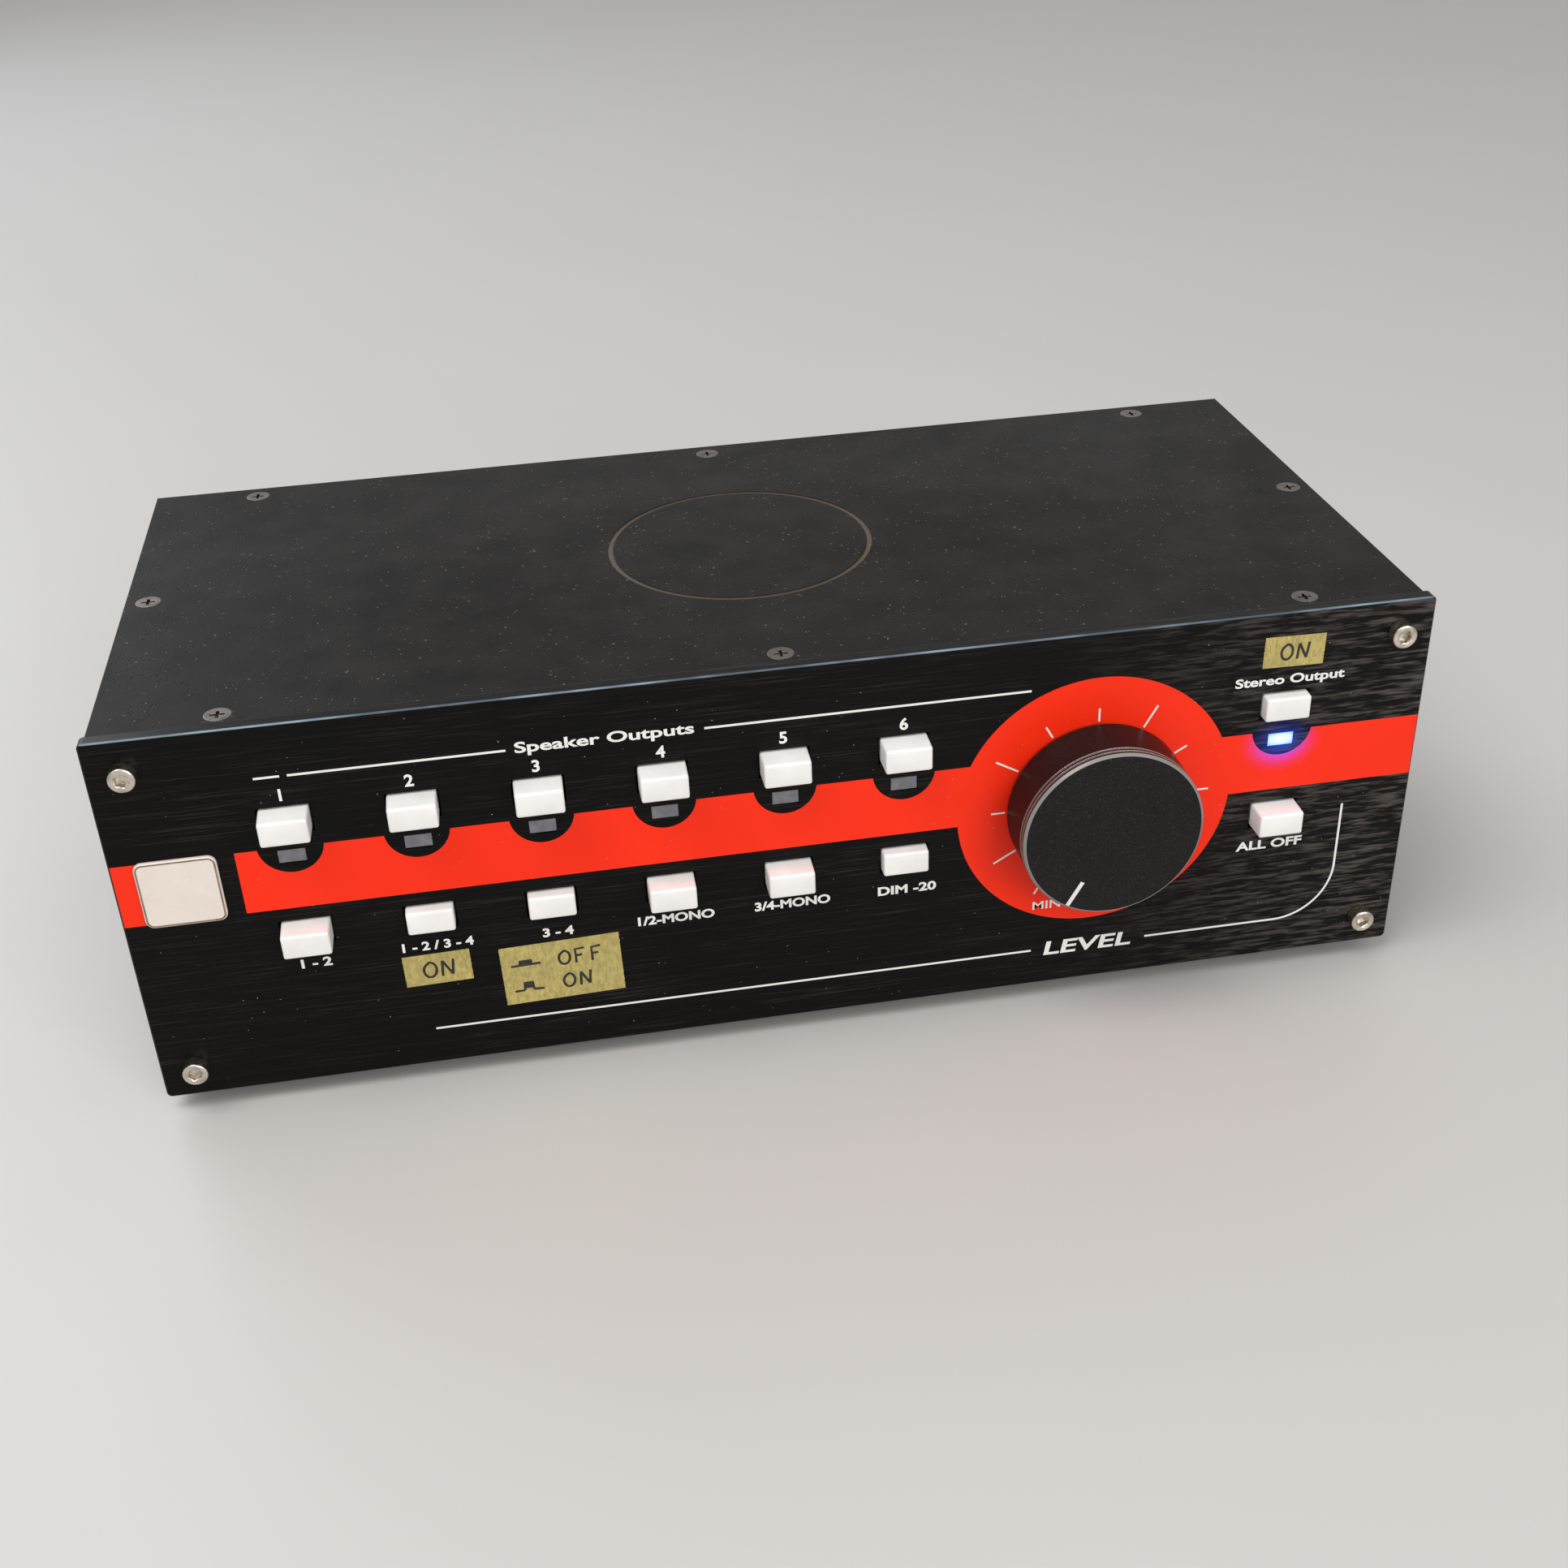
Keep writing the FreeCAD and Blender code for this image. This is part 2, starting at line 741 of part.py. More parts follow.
def make_boards():
    board = slab("board_sheet", -1 * board_half, board_half, board_front, board_back,
                 board_bottom_z, board_top)
    hole_side = pot_side + board_pot_gap * 2
    pot_hole = block("board_pot_hole", knob_x, board_front - past, knob_z, hole_side,
                     board_thickness + past * 2, hole_side)
    tools = [pot_hole]
    for number, (x, z) in enumerate(spacer_places):
        tools.append(rod("board_hole{}".format(number), x, board_front - past, z, screw_hole,
                         board_thickness + past * 2))
    export_as(without("control_board", board, tools), "control_board")

    tube = rod("spacer_tube", 0, wall_back, 0, spacer_diameter, board_front - wall_back)
    bore = rod("spacer_bore", 0, wall_back - past, 0, thread_hole, board_front - wall_back + past * 2)
    spacer = without("spacer", tube, [bore])
    repeated("board_spacers", spacer, [(x, 0, z) for x, z in spacer_places])

    head = rod("board_screw_head", 0, board_back, 0, pan_head, pan_head_height)
    shank = rod("board_screw_shank", 0, board_back - pan_screw_length, 0, screw_diameter,
                pan_screw_length)
    blank = joined("board_screw_blank", [head, shank])
    recess = cross_recess("board_cross", 0, board_back + pan_head_height, 0, ALONG_Y)
    screw = without("board_screw", blank, recess)
    repeated("board_screws", screw, [(x, 0, z) for x, z in spacer_places])


button_places = [("upper_{}".format(number + 1), x, upper_row) for number, x in columns]
button_places += [("upper_stereo", right_column, upper_row)]
button_places += [("lower_{}".format(number + 1), x, lower_row) for number, x in columns]
button_places += [("lower_mute", right_column, lower_row)]
latched_in = ("upper_stereo", "lower_2", "lower_3", "lower_6")


def make_switch_housings():
    housing = block("switch_case", 0, switch_front, 0, switch_side, switch_depth, switch_side)
    hole = plunger_side + plunger_gap * 2
    bore = block("switch_hole", 0, switch_front - past, 0, hole, switch_bore + past, hole)
    switch = without("switch_body", housing, [bore])
    repeated("switch_housings", switch, [(x, 0, panel_lift + z) for name, x, z in button_places])


def make_button(name, x, z):
    """A cap on its plunger. A latched one stands further in."""
    pushed = latch_travel if name in latched_in else 0
    cap_front = front - cap_reach + pushed
    cap_length = cap_reach + panel_thickness + cap_tail
    middle = panel_lift + z
    blank = block(name + "_blank", x, cap_front, middle, cap_width, cap_length, cap_height)
    doc.recompute()
    edged = doc.addObject("Part::Chamfer", name + "_edged")
    edged.Base = blank
    front_edges = [int(edge[4:]) for edge in edges_in_plane(blank.Shape, 1, cap_front.value)]
    edged.Edges = [(edge, cap_chamfer.value, cap_chamfer.value) for edge in front_edges]
    side = plunger_side + grip_gap * 2
    socket = block(name + "_socket", x, cap_front + cap_length - plunger_grip, middle, side,
                   plunger_grip + past, side)
    export_as(without(name + "_cap", edged, [socket]), name + "_cap")
    start = cap_front + cap_length - plunger_grip + grip_gap
    end = switch_front + plunger_depth + pushed
    stem = block(name + "_stem", x, start, middle, plunger_side, end - start, plunger_side)
    export_as(stem, name + "_plunger")


def make_leds():
    side_gap = led_gap * 2
    lens = block("led_lens", 0, front + led_sink, 0, led_width - side_gap, led_body,
                 led_height - side_gap)
    legs = []
    for number, side in enumerate((-1, 1)):
        legs.append(block("led_leg{}".format(number), side * led_leg_pitch / 2,
                          front + led_sink + led_body, 0,
                          led_leg, board_front - front - led_sink - led_body, led_leg))
    led = joined("led", [lens] + legs)
    middle = panel_lift + led_row
    repeated("leds_unlit", led, [(x, 0, middle) for number, x in columns])
    repeated("led_lit", led, [(right_column, 0, middle)])


def make_volume_control():
    depth = pot_gangs * pot_gang_depth
    gangs = block("pot_stack", knob_x, panel_back, knob_z, pot_side, depth, pot_side)
    bushing = rod("pot_bushing", knob_x, front - bushing_reach, knob_z, bushing_diameter,
                  bushing_reach + panel_thickness + past)
    hole = rod("pot_hole", knob_x, front - bushing_reach - past, knob_z, shaft_diameter + shaft_gap * 2,
               bushing_reach + panel_thickness + pot_bore_depth + past)
    slots = []
    for number in range(1, int(pot_gangs.value)):
        y = panel_back + pot_gang_depth * number - pot_gang_slot / 2
        ring = block("pot_slot_outside{}".format(number), knob_x, y, knob_z, pot_side + past * 2,
                     pot_gang_slot,
                     pot_side + past * 2)
        core = block("pot_slot_core{}".format(number), knob_x, y - past, knob_z,
                     pot_side - pot_slot_depth * 2,
                     pot_gang_slot + past * 2, pot_side - pot_slot_depth * 2)
        slots.append(without("pot_slot{}".format(number), ring, [core]))
    housing = without("pot_housing", joined("pot_blank", [gangs, bushing]), [hole] + slots)
    export_as(housing, "pot_housing")

    nut = hexagon("pot_nut_blank", knob_x, front - nut_thickness, knob_z, nut_flats, nut_thickness)
    nut_hole = rod("pot_nut_hole", knob_x, front - nut_thickness - past, knob_z,
                   bushing_diameter + thread_clearance * 2, nut_thickness + past * 2)
    export_as(without("pot_nut", nut, [nut_hole]), "pot_nut")

    shaft_front = knob_back - shaft_grip
    shaft_length = shaft_grip + knob_gap + panel_thickness + pot_bore_depth - shaft_end_gap
    shaft = rod("pot_shaft", knob_x, shaft_front, knob_z, shaft_diameter, shaft_length)
    export_as(shaft, "pot_shaft")


def pointer_strip(name, gap):
    """The pointer, or with no gap the slot that holds it, in the knob's face at the zero mark."""
    strip = doc.addObject("Part::Box", name)
    bind(strip, "Length", pointer_width - gap * 2)
    bind(strip, "Width", pointer_depth - gap)
    bind(strip, "Height", pointer_length - gap * 2)
    side = pointer_width / 2 - gap
    inner = knob_diameter / 2 - pointer_edge - pointer_length + gap
    turned = FreeCAD.Rotation(FreeCAD.Vector(0, 1, 0), -pointer_angle.value)
    corner = turned.multVec(FreeCAD.Vector(-side.value, 0, inner.value))
    return place(strip, knob_x + corner.x, knob_front, knob_z + corner.z, turned)


def make_knob():
    barrel = rod("knob_barrel", knob_x, knob_front, knob_z, knob_diameter, knob_length)
    doc.recompute()
    edged = doc.addObject("Part::Chamfer", "knob_edged")
    edged.Base = barrel
    front_edges = [int(edge[4:]) for edge in edges_in_plane(barrel.Shape, 1, knob_front.value)]
    edged.Edges = [(edge, knob_chamfer.value, knob_chamfer.value) for edge in front_edges]
    hollow = rod("knob_hollow", knob_x, knob_back - knob_hollow_depth, knob_z, knob_hollow,
                 knob_hollow_depth + past)
    bore = rod("knob_bore", knob_x, knob_back - shaft_grip - grip_gap, knob_z,
               shaft_diameter + grip_gap * 2,
               shaft_grip + grip_gap + past)
    tools = [hollow, bore]
    for number, start in enumerate((knob_groove_first, knob_groove_second)):
        ring = rod("knob_ring{}".format(number), knob_x, knob_front + start, knob_z,
                   knob_diameter + past * 2,
                   knob_groove)
        core = rod("knob_core{}".format(number), knob_x, knob_front + start - past, knob_z,
                   knob_diameter - knob_groove * 2, knob_groove + past * 2)
        tools.append(without("knob_groove{}".format(number), ring, [core]))
    tools.append(pointer_strip("pointer_slot", 0))
    screw_y = knob_back - knob_hollow_depth - set_screw_setback
    radial = doc.addObject("Part::Cylinder", "set_screw_hole")
    bind(radial, "Radius", set_screw_diameter / 2 + thread_clearance)
    bind(radial, "Height", knob_diameter / 2 + past - shaft_diameter / 2)
    place(radial, knob_x, screw_y, knob_z - knob_diameter / 2 - past)
    tools.append(radial)
    export_as(without("knob_shell", edged, tools), "knob_shell")

    export_as(pointer_strip("knob_pointer", grip_gap), "knob_pointer")

    screw = doc.addObject("Part::Cylinder", "set_screw_blank")
    bind(screw, "Radius", set_screw_diameter / 2)
    bind(screw, "Height", set_screw_length)
    screw_bottom = knob_z - shaft_diameter / 2 - grip_gap - set_screw_length
    place(screw, knob_x, screw_y, screw_bottom)
    recess = hexagon("set_screw_recess", knob_x, screw_y, screw_bottom - past, set_screw_flats,
                     set_screw_socket + past, UPRIGHT)
    export_as(without("knob_set_screw", screw, [recess]), "knob_set_screw")


def make_rear_panel():
    sheet_metal = slab("rear_sheet", -1 * case_half, case_half, rear_inside, case_back, case_bottom,
                       cover_bottom)
    tools = []
    through = sheet_steel + past * 2
    for number, (x, z) in enumerate(rear_screw_places):
        tools.append(rod("rear_hole{}".format(number), x, rear_inside - past, z, screw_hole, through))
    for number, (x, z) in enumerate(jack_places):
        tools.append(rod("jack_hole{}".format(number), x, rear_inside - past, z,
                         jack_thread + screw_clearance * 2, through))
    for number, x in enumerate(multipin_places):
        tools.append(block("multipin_cut{}".format(number), x, rear_inside - past, connector_z,
                           multipin_width + cutout_gap * 2, through, multipin_height + cutout_gap * 2))
        for side in (-1, 1):
            tools.append(rod("post_hole{}_{}".format(number, side + 1), x + side * post_spacing / 2,
                             rear_inside - past, connector_z, screw_hole, through))
    inlet_cut = inlet_side + cutout_gap * 2
    tools.append(block("inlet_cut", inlet_x, rear_inside - past, connector_z, inlet_cut, through,
                       inlet_cut))
    export_as(without("rear_panel", sheet_metal, tools), "rear_panel")


jack_places = [
    (jack_first + jack_pitch * column, connector_z + side * jack_row_gap / 2)
    for column in range(2)
    for side in (-1, 1)
]
multipin_places = [multipin_first + multipin_pitch * number for number in range(multipin_count)]


def make_connectors():
    low_x = rear_margin + connector_board_gap - case_half
    high_x = case_half - rear_margin - connector_board_gap
    low_z = rear_low + connector_board_gap
    high_z = rear_high - connector_board_gap
    board = slab("connector_board", low_x, high_x, connector_board_y,
                 connector_board_y + board_thickness,
                 low_z, high_z)
    export_as(board, "connector_board")

    jack_front = connector_board_y + board_thickness
    shell = block("jack_case", 0, jack_front, 0, jack_side, connector_depth, jack_body_height)
    thread = rod("jack_sleeve", 0, rear_inside - past, 0, jack_thread, past + sheet_steel + rear_reach)
    bore = rod("jack_hole_blank", 0, case_back + rear_reach - jack_bore_depth, 0, jack_bore,
               jack_bore_depth + past)
    jack = without("jack", joined("jack_blank", [shell, thread]), [bore])
    repeated("jack_bodies", jack, [(x, 0, z) for x, z in jack_places])

    nut = hexagon("jack_nut_blank", 0, case_back, 0, jack_nut_flats, jack_nut_thickness)
    hole = rod("jack_nut_hole", 0, case_back - past, 0, jack_thread + thread_clearance * 2,
               jack_nut_thickness + past * 2)
    repeated("jack_nuts", without("jack_nut", nut, [hole]), [(x, 0, z) for x, z in jack_places])

    make_multipin_sockets(jack_front)

    socket = block("inlet_case", inlet_x, jack_front, connector_z, inlet_side,
                   connector_depth + sheet_steel + inlet_reach, inlet_side)
    floor_y = case_back + inlet_reach - inlet_bore_depth
    hollow = rod("inlet_hole", inlet_x, floor_y, connector_z, inlet_bore,
                 inlet_bore_depth + past)
    pin = rod("inlet_pin", inlet_x, floor_y - past, connector_z, inlet_pin_diameter,
              inlet_bore_depth + past - inlet_pin_sink)
    export_as(joined("power_inlet", [without("inlet_shell", socket, [hollow]), pin]), "power_inlet")


def make_multipin_sockets(start):
    flange = block("multipin_flange", 0, rear_inside - multipin_flange, 0, multipin_flange_width,
                   multipin_flange, multipin_flange_height)
    rear_case = block("multipin_case", 0, start, 0, multipin_width + multipin_skirt * 2,
                      connector_depth, multipin_height + multipin_skirt * 2)
    body, plane = body_on("multipin_nose", "XZ_Plane", 0, rear_inside - past, 0)
    outline = sketch_on(body, plane, "multipin_outline")
    half_top = (multipin_width / 2).value
    half_low = half_top - multipin_slant.value
    half_high = (multipin_height / 2).value
    corners = [(-half_low, -half_high), (half_low, -half_high), (half_top, half_high), (-half_top,
                                                                                        half_high)]
    for first, second in zip(corners, corners[1:] + corners[:1]):
        outline.addGeometry(Part.LineSegment(FreeCAD.Vector(*first, 0), FreeCAD.Vector(*second, 0)))
    for number in range(4):
        outline.addConstraint(Sketcher.Constraint("Coincident", number, 2, (number + 1) % 4, 1))
    outline.addConstraint(Sketcher.Constraint("Horizontal", 0))
    outline.addConstraint(Sketcher.Constraint("Horizontal", 2))
    constrain(outline, "DistanceX", (0, 1, 0, 2), "low_width", multipin_width - multipin_slant * 2)
    constrain(outline, "DistanceX", (2, 2, 2, 1), "high_width", multipin_width)
    constrain(outline, "DistanceX", (0, 1, -1, 1), "low_half", multipin_width / 2 - multipin_slant)
    constrain(outline, "DistanceX", (2, 2, -1, 1), "high_half", multipin_width / 2)
    constrain(outline, "DistanceY", (0, 1, -1, 1), "below", multipin_height / 2)
    constrain(outline, "DistanceY", (-1, 1, 2, 1), "above", multipin_height / 2)
    nose = pad_back(body, outline, "multipin_pad", sheet_steel + multipin_reach + past)
    tools = []
    for row, count in ((0.5, 13), (-0.5, 12)):
        for number in range(count):
            x = multipin_hole_pitch * (number - (count - 1) / 2)
            tools.append(rod("pin_hole{}_{}".format(int(row > 0), number), x,
                             case_back + multipin_reach - multipin_hole_depth, multipin_row_pitch * row,
                             multipin_hole, multipin_hole_depth + past))
    for side in (-1, 1):
        tools.append(rod("flange_hole{}".format(side + 1), side * post_spacing / 2,
                         rear_inside - multipin_flange - past, 0, thread_hole, multipin_flange + past * 2))
    socket = without("multipin", joined("multipin_blank", [flange, rear_case, body]), tools)
    repeated("multipin_sockets", socket, [(x, 0, connector_z) for x in multipin_places])

    head = hexagon("post_head", 0, case_back, 0, post_flats, post_length)
    shank = rod("post_shank", 0, rear_inside - multipin_flange, 0, screw_diameter,
                sheet_steel + multipin_flange + past / 2)
    drill = rod("post_drill", 0, case_back + post_length - post_bore_depth, 0, post_bore,
                post_bore_depth + past)
    post = without("post", joined("post_blank", [head, shank]), [drill])
    places = [
        (x + side * post_spacing / 2, 0, connector_z) for x in multipin_places for side in (-1, 1)
    ]
    repeated("multipin_posts", post, places)


def make_link_board():
    """A stiff board that joins the control board to the connector board."""
    middle = panel_lift + link_height
    link = block("link_board", link_centre_x, board_back, middle, link_width,
                 connector_board_y - board_back, board_thickness)
    export_as(link, "link_board")


make_front_panel()
make_badge_and_tapes()
make_chassis_tray()
make_top_cover()
make_rear_panel()
make_panel_screws()
make_cover_screws()
make_rear_screws()
make_feet()
make_boards()
make_switch_housings()
for button, place_x, place_z in button_places:
    make_button(button, place_x, place_z)
make_leds()
make_volume_control()
make_knob()
make_connectors()
make_link_board()

doc.recompute()
os.makedirs("parts", exist_ok=True)
for item in doc.Objects:
    if "Invalid" in item.State or "Error" in item.State:
        raise RuntimeError("{} has the state {}".format(item.Name, item.State))
for item in exported:
    if item.Shape.isNull() or not item.Shape.isValid():
        raise RuntimeError(item.Label + " has no valid shape")
    item.Shape.exportStep("parts/{}.step".format(item.Label))
print("{} nodes".format(len(exported)))
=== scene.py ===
import math

import bmesh
import bpy
from bpy.props import FloatProperty, FloatVectorProperty, IntProperty, PointerProperty
from mathutils import Matrix, Vector, noise


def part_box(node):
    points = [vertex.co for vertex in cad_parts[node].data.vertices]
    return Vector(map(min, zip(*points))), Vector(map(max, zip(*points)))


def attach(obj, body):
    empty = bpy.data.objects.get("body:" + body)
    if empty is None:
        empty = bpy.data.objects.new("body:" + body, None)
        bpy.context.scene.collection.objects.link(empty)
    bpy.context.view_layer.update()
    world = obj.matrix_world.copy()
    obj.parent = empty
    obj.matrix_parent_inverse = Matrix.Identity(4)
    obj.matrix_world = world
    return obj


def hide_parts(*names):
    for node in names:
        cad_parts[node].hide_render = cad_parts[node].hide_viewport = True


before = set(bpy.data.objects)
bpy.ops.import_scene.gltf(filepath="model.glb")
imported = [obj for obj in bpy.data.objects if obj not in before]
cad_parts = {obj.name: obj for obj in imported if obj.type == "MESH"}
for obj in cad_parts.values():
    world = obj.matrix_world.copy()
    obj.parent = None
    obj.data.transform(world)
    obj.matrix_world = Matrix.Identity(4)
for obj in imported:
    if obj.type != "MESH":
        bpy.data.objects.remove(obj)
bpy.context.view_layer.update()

bl_info = {
    "name": "Monitor Controller Looks",
    "version": (1, 0, 0),
    "blender": (4, 5, 0),
    "location": "View3D > Sidebar > Controller",
    "description": "Prints, finishes, lettering and stage for a studio monitor controller",
    "category": "Object",
}

# Lengths are metres, in the frame's axes: +X right, +Y back, +Z up. The panel faces -Y.
MM = 0.001

PANEL_LOW, PANEL_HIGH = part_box("front_panel")
COVER_LOW, COVER_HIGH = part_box("top_cover")
KNOB_LOW, KNOB_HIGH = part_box("knob_shell")
KNOB_X = (KNOB_LOW.x + KNOB_HIGH.x) / 2
KNOB_Z = (KNOB_LOW.z + KNOB_HIGH.z) / 2
KNOB_RADIUS = (KNOB_HIGH.x - KNOB_LOW.x) / 2
BUTTONS = ["{}_{}".format(row, number) for row in ("upper", "lower") for number in range(1, 7)]
BUTTONS += ["upper_stereo", "lower_mute"]

# Printed rows, in millimetres over the panel's lower edge.
HEADING_ROW = 76.2
NUMBER_ROW = 71.9
LABEL_ROW = 30.6
FOOT_ROW = 9.3

# At the rear, how far the first socket's and a jack's middle are inside their common boxes.
SOCKET_INSET = 26.5 * MM
SOCKET_PITCH = 58.0 * MM
JACK_INSET = 6.93 * MM


def centre_of(node):
    """The middle of a CAD node's box."""
    low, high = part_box(node)
    return (low + high) / 2


def socket_columns():
    """The X of each rear socket's middle, the lowest first."""
    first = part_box("multipin_sockets")[0].x + SOCKET_INSET
    return [first + SOCKET_PITCH * number for number in range(3)]


COLUMNS = [centre_of(name + "_cap").x for name in BUTTONS[:6]]
RIGHT_COLUMN = centre_of("upper_stereo_cap").x


# Settings


def length(name, description, value):
    """A setting that is a length in metres."""
    return FloatProperty(name=name, description=description, default=value, unit="LENGTH", precision=5)


def colour(name, description, value):
    """A setting that is a colour."""
    return FloatVectorProperty(name=name, description=description, default=value, size=3,
                               subtype="COLOR", min=0.0, max=1.0)


class PrintSettings(bpy.types.PropertyGroup):
    ink: length("Ink thickness", "How far the print stands off the panel", 0.03 * MM)
    band_low: length("Band bottom", "Height of the red band's lower edge over the panel's edge", 44.9 * MM)
    band_high: length("Band top", "Height of the red band's upper edge over the panel's edge", 59.6 * MM)
    disc: length("Disc radius", "Radius of the red disc round the knob", 30.5 * MM)
    notch: length("Notch radius", "Radius of the black notch under each upper button", 6.7 * MM)
    notch_rise: length("Notch rise", "Height of the notch centre over the band's upper edge", 0.7 * MM)
    rule: length("Rule width", "Width of the white rules", 0.5 * MM)
    mark: length("Mark width", "Width of the marks round the dial", 0.42 * MM)
    red: colour("Red ink", "Colour of the band and disc", (0.95, 0.026, 0.003))
    white: colour("White ink", "Colour of the rules and letters", (0.82, 0.82, 0.80))


class FinishSettings(bpy.types.PropertyGroup):
    panel: colour("Panel black", "Colour of the brushed front", (0.0026, 0.0024, 0.0024))
    case: colour("Case black", "Colour of the satin case", (0.0066, 0.0058, 0.0055))
    knob: colour("Knob black", "Colour of the blasted knob", (0.0055, 0.0052, 0.0052))
    cap: colour("Cap white", "Colour of the button caps", (0.88, 0.875, 0.86))
    tape: colour("Tape yellow", "Colour of the crepe tape", (0.47, 0.385, 0.13))
    glow: colour("LED blue", "Colour of the lit LED", (0.03, 0.09, 1.0))
    glow_strength: FloatProperty(name="LED strength", description="Brightness of the lit LED",
                                 default=3.2, min=0.0)


class DustSettings(bpy.types.PropertyGroup):
    seed: IntProperty(name="Seed", description="Seed of the dust's places", default=11)
    density: FloatProperty(name="Density", description="Specks on a square metre of cover",
                           default=42000.0, min=0.0)
    front_density: FloatProperty(name="Front density", description="Specks on a square metre of panel",
                                 default=11000.0, min=0.0)
    speck: length("Speck size", "Length of the longest speck", 0.34 * MM)


class StageSettings(bpy.types.PropertyGroup):
    camera_place: FloatVectorProperty(name="Camera place", description="Where the camera stands",
                                      default=(-0.0504, -0.3944, 0.2681), subtype="TRANSLATION",
                                      unit="LENGTH", size=3)
    heading: FloatProperty(name="Heading", description="Turn of the view to the right of straight back",
                           default=math.radians(8.317), subtype="ANGLE")
    pitch: FloatProperty(name="Pitch", description="Tilt of the view below the horizon",
                         default=math.radians(31.077), subtype="ANGLE")
    roll: FloatProperty(name="Roll", description="Clockwise roll of the camera",
                        default=math.radians(2.377), subtype="ANGLE")
    lens: FloatProperty(name="Lens", description="Focal length on a 36 mm wide sensor", default=43.34)
    floor: colour("Floor", "Colour of the floor", (0.56, 0.548, 0.535))


# Materials


def shade(base, factor):
    """A colour made lighter or darker by a factor."""
    return [min(1.0, channel * factor) for channel in base]


class Finish:
    """A material under construction: its shader, its object coordinates and its nodes."""

    def __init__(self, name, base, roughness, metallic=0.0, specular=0.5):
        self.material = bpy.data.materials.new(name)
        self.material.use_nodes = True
        self.tree = self.material.node_tree
        self.shader = self.tree.nodes["Principled BSDF"]
        self.set("Base Color", (*base, 1.0))
        self.set("Roughness", roughness)
        self.set("Metallic", metallic)
        self.set("Specular IOR Level", specular)
        self.place = self.tree.nodes.new("ShaderNodeTexCoord").outputs["Object"]
        self.normal = None

    def set(self, socket, value):
        """Gives one of the shader's inputs a fixed value."""
        self.shader.inputs[socket].default_value = value

    def link(self, output, socket):
        """Feeds one of the shader's inputs from another node."""
        self.tree.links.new(output, self.shader.inputs[socket])

    def node(self, kind, inputs=None, **values):
        """Adds a node; each input is a socket or a value, and the rest are the node's own settings."""
        made = self.tree.nodes.new(kind)
        for key, value in values.items():
            setattr(made, key, value)
        for key, value in (inputs or {}).items():
            if isinstance(value, bpy.types.NodeSocket):
                self.tree.links.new(value, made.inputs[key])
            else:
                made.inputs[key].default_value = value
        return made

    def grain(self, scale, detail, roughness=0.5, vector=None):
        """Noise whose features are about 1/scale metres across."""
        return self.node("ShaderNodeTexNoise", {
            "Vector": self.place if vector is None else vector,
            "Scale": scale, "Detail": detail, "Roughness": roughness}).outputs["Fac"]

    def streaks(self, scales, detail, roughness=0.5):
        """Noise with a scale of its own along each axis."""
        drawn = self.node("ShaderNodeMapping", {"Vector": self.place, "Scale": scales})
        return self.grain(1.0, detail, roughness, drawn.outputs["Vector"])

    def cells(self, scale):
        """The distance from the nearest of many scattered points, about 1/scale metres apart."""
        made = self.node("ShaderNodeTexVoronoi", {"Vector": self.place, "Scale": scale})
        return made.outputs["Distance"]

    def spread(self, value, low, high, from_low=0.3, from_high=0.7):
        """The value moved from one range to another, held at its ends."""
        made = self.node("ShaderNodeMapRange", {
            "Value": value, "From Min": from_low, "From Max": from_high, "To Min": low, "To Max": high})
        return made.outputs["Result"]

    def axis(self, name):
        """The place along one axis."""
        return self.node("ShaderNodeSeparateXYZ", {"Vector": self.place}).outputs[name]

    def along(self, name, low, high, start, end):
        """A value that goes from low to high between two places on an axis."""
        return self.spread(self.axis(name), low, high, start, end)

    def away_from(self, point, weights):
        """The distance from a point, with its part along each axis weighted."""
        value = self.place
        for operation, other in (("SUBTRACT", point), ("MULTIPLY", weights)):
            step = self.node("ShaderNodeVectorMath", {0: value, 1: other}, operation=operation)
            value = step.outputs[0]
        return self.node("ShaderNodeVectorMath", {0: value}, operation="LENGTH").outputs["Value"]

    def math(self, operation, first, second=0.0):
        """One step of arithmetic on sockets or numbers."""
        return self.node("ShaderNodeMath", {0: first, 1: second}, operation=operation).outputs[0]

    def times(self, first, second):
        """The product of two values; of two masks it keeps what both cover."""
        return self.math("MULTIPLY", first, second)

    def blend(self, factor, first, second):
        """A colour between two colours; each is a socket or three numbers."""
        first, second = (value if isinstance(value, bpy.types.NodeSocket) else (*value, 1.0)
                         for value in (first, second))
        # The node's colour sockets come after those for numbers and vectors.
        return self.node("ShaderNodeMix", {0: factor, 6: first, 7: second}, data_type="RGBA").outputs[2]

    def tint(self, value, first, second):
        """A base colour that drifts between two colours as a noise does."""
        self.link(self.blend(self.spread(value, 0.0, 1.0), first, second), "Base Color")

    def bump(self, height, distance, strength):
        """Adds relief over the relief that is there already."""
        inputs = {"Height": height, "Distance": distance, "Strength": strength}
        if self.normal is not None:
            inputs["Normal"] = self.normal
        self.normal = self.node("ShaderNodeBump", inputs).outputs["Normal"]
        self.link(self.normal, "Normal")

    def soften(self, radius):
        """Rounds the look of sharp edges before any bump."""
        self.normal = self.node("ShaderNodeBevel", {"Radius": radius}, samples=6).outputs["Normal"]
        self.link(self.normal, "Normal")


def spill_on(made, glow, strength):
    """Paints the soft blue light round the lit LED onto the surface as a glow of its own, and gives its
    fade.
    """
    middle = centre_of("led_lit")
    away = made.away_from((middle.x, middle.y, middle.z - 0.6 * MM), (0.8, 0.0, 1.0))
    full_within, none_beyond = 1.4 * MM, 8.6 * MM
    falling = made.math("POWER", made.spread(away, 1.0, 0.0, full_within, none_beyond), 3.0)
    made.set("Emission Strength", strength)
    made.link(made.blend(falling, (0.0, 0.0, 0.0), glow), "Emission Color")
    return falling


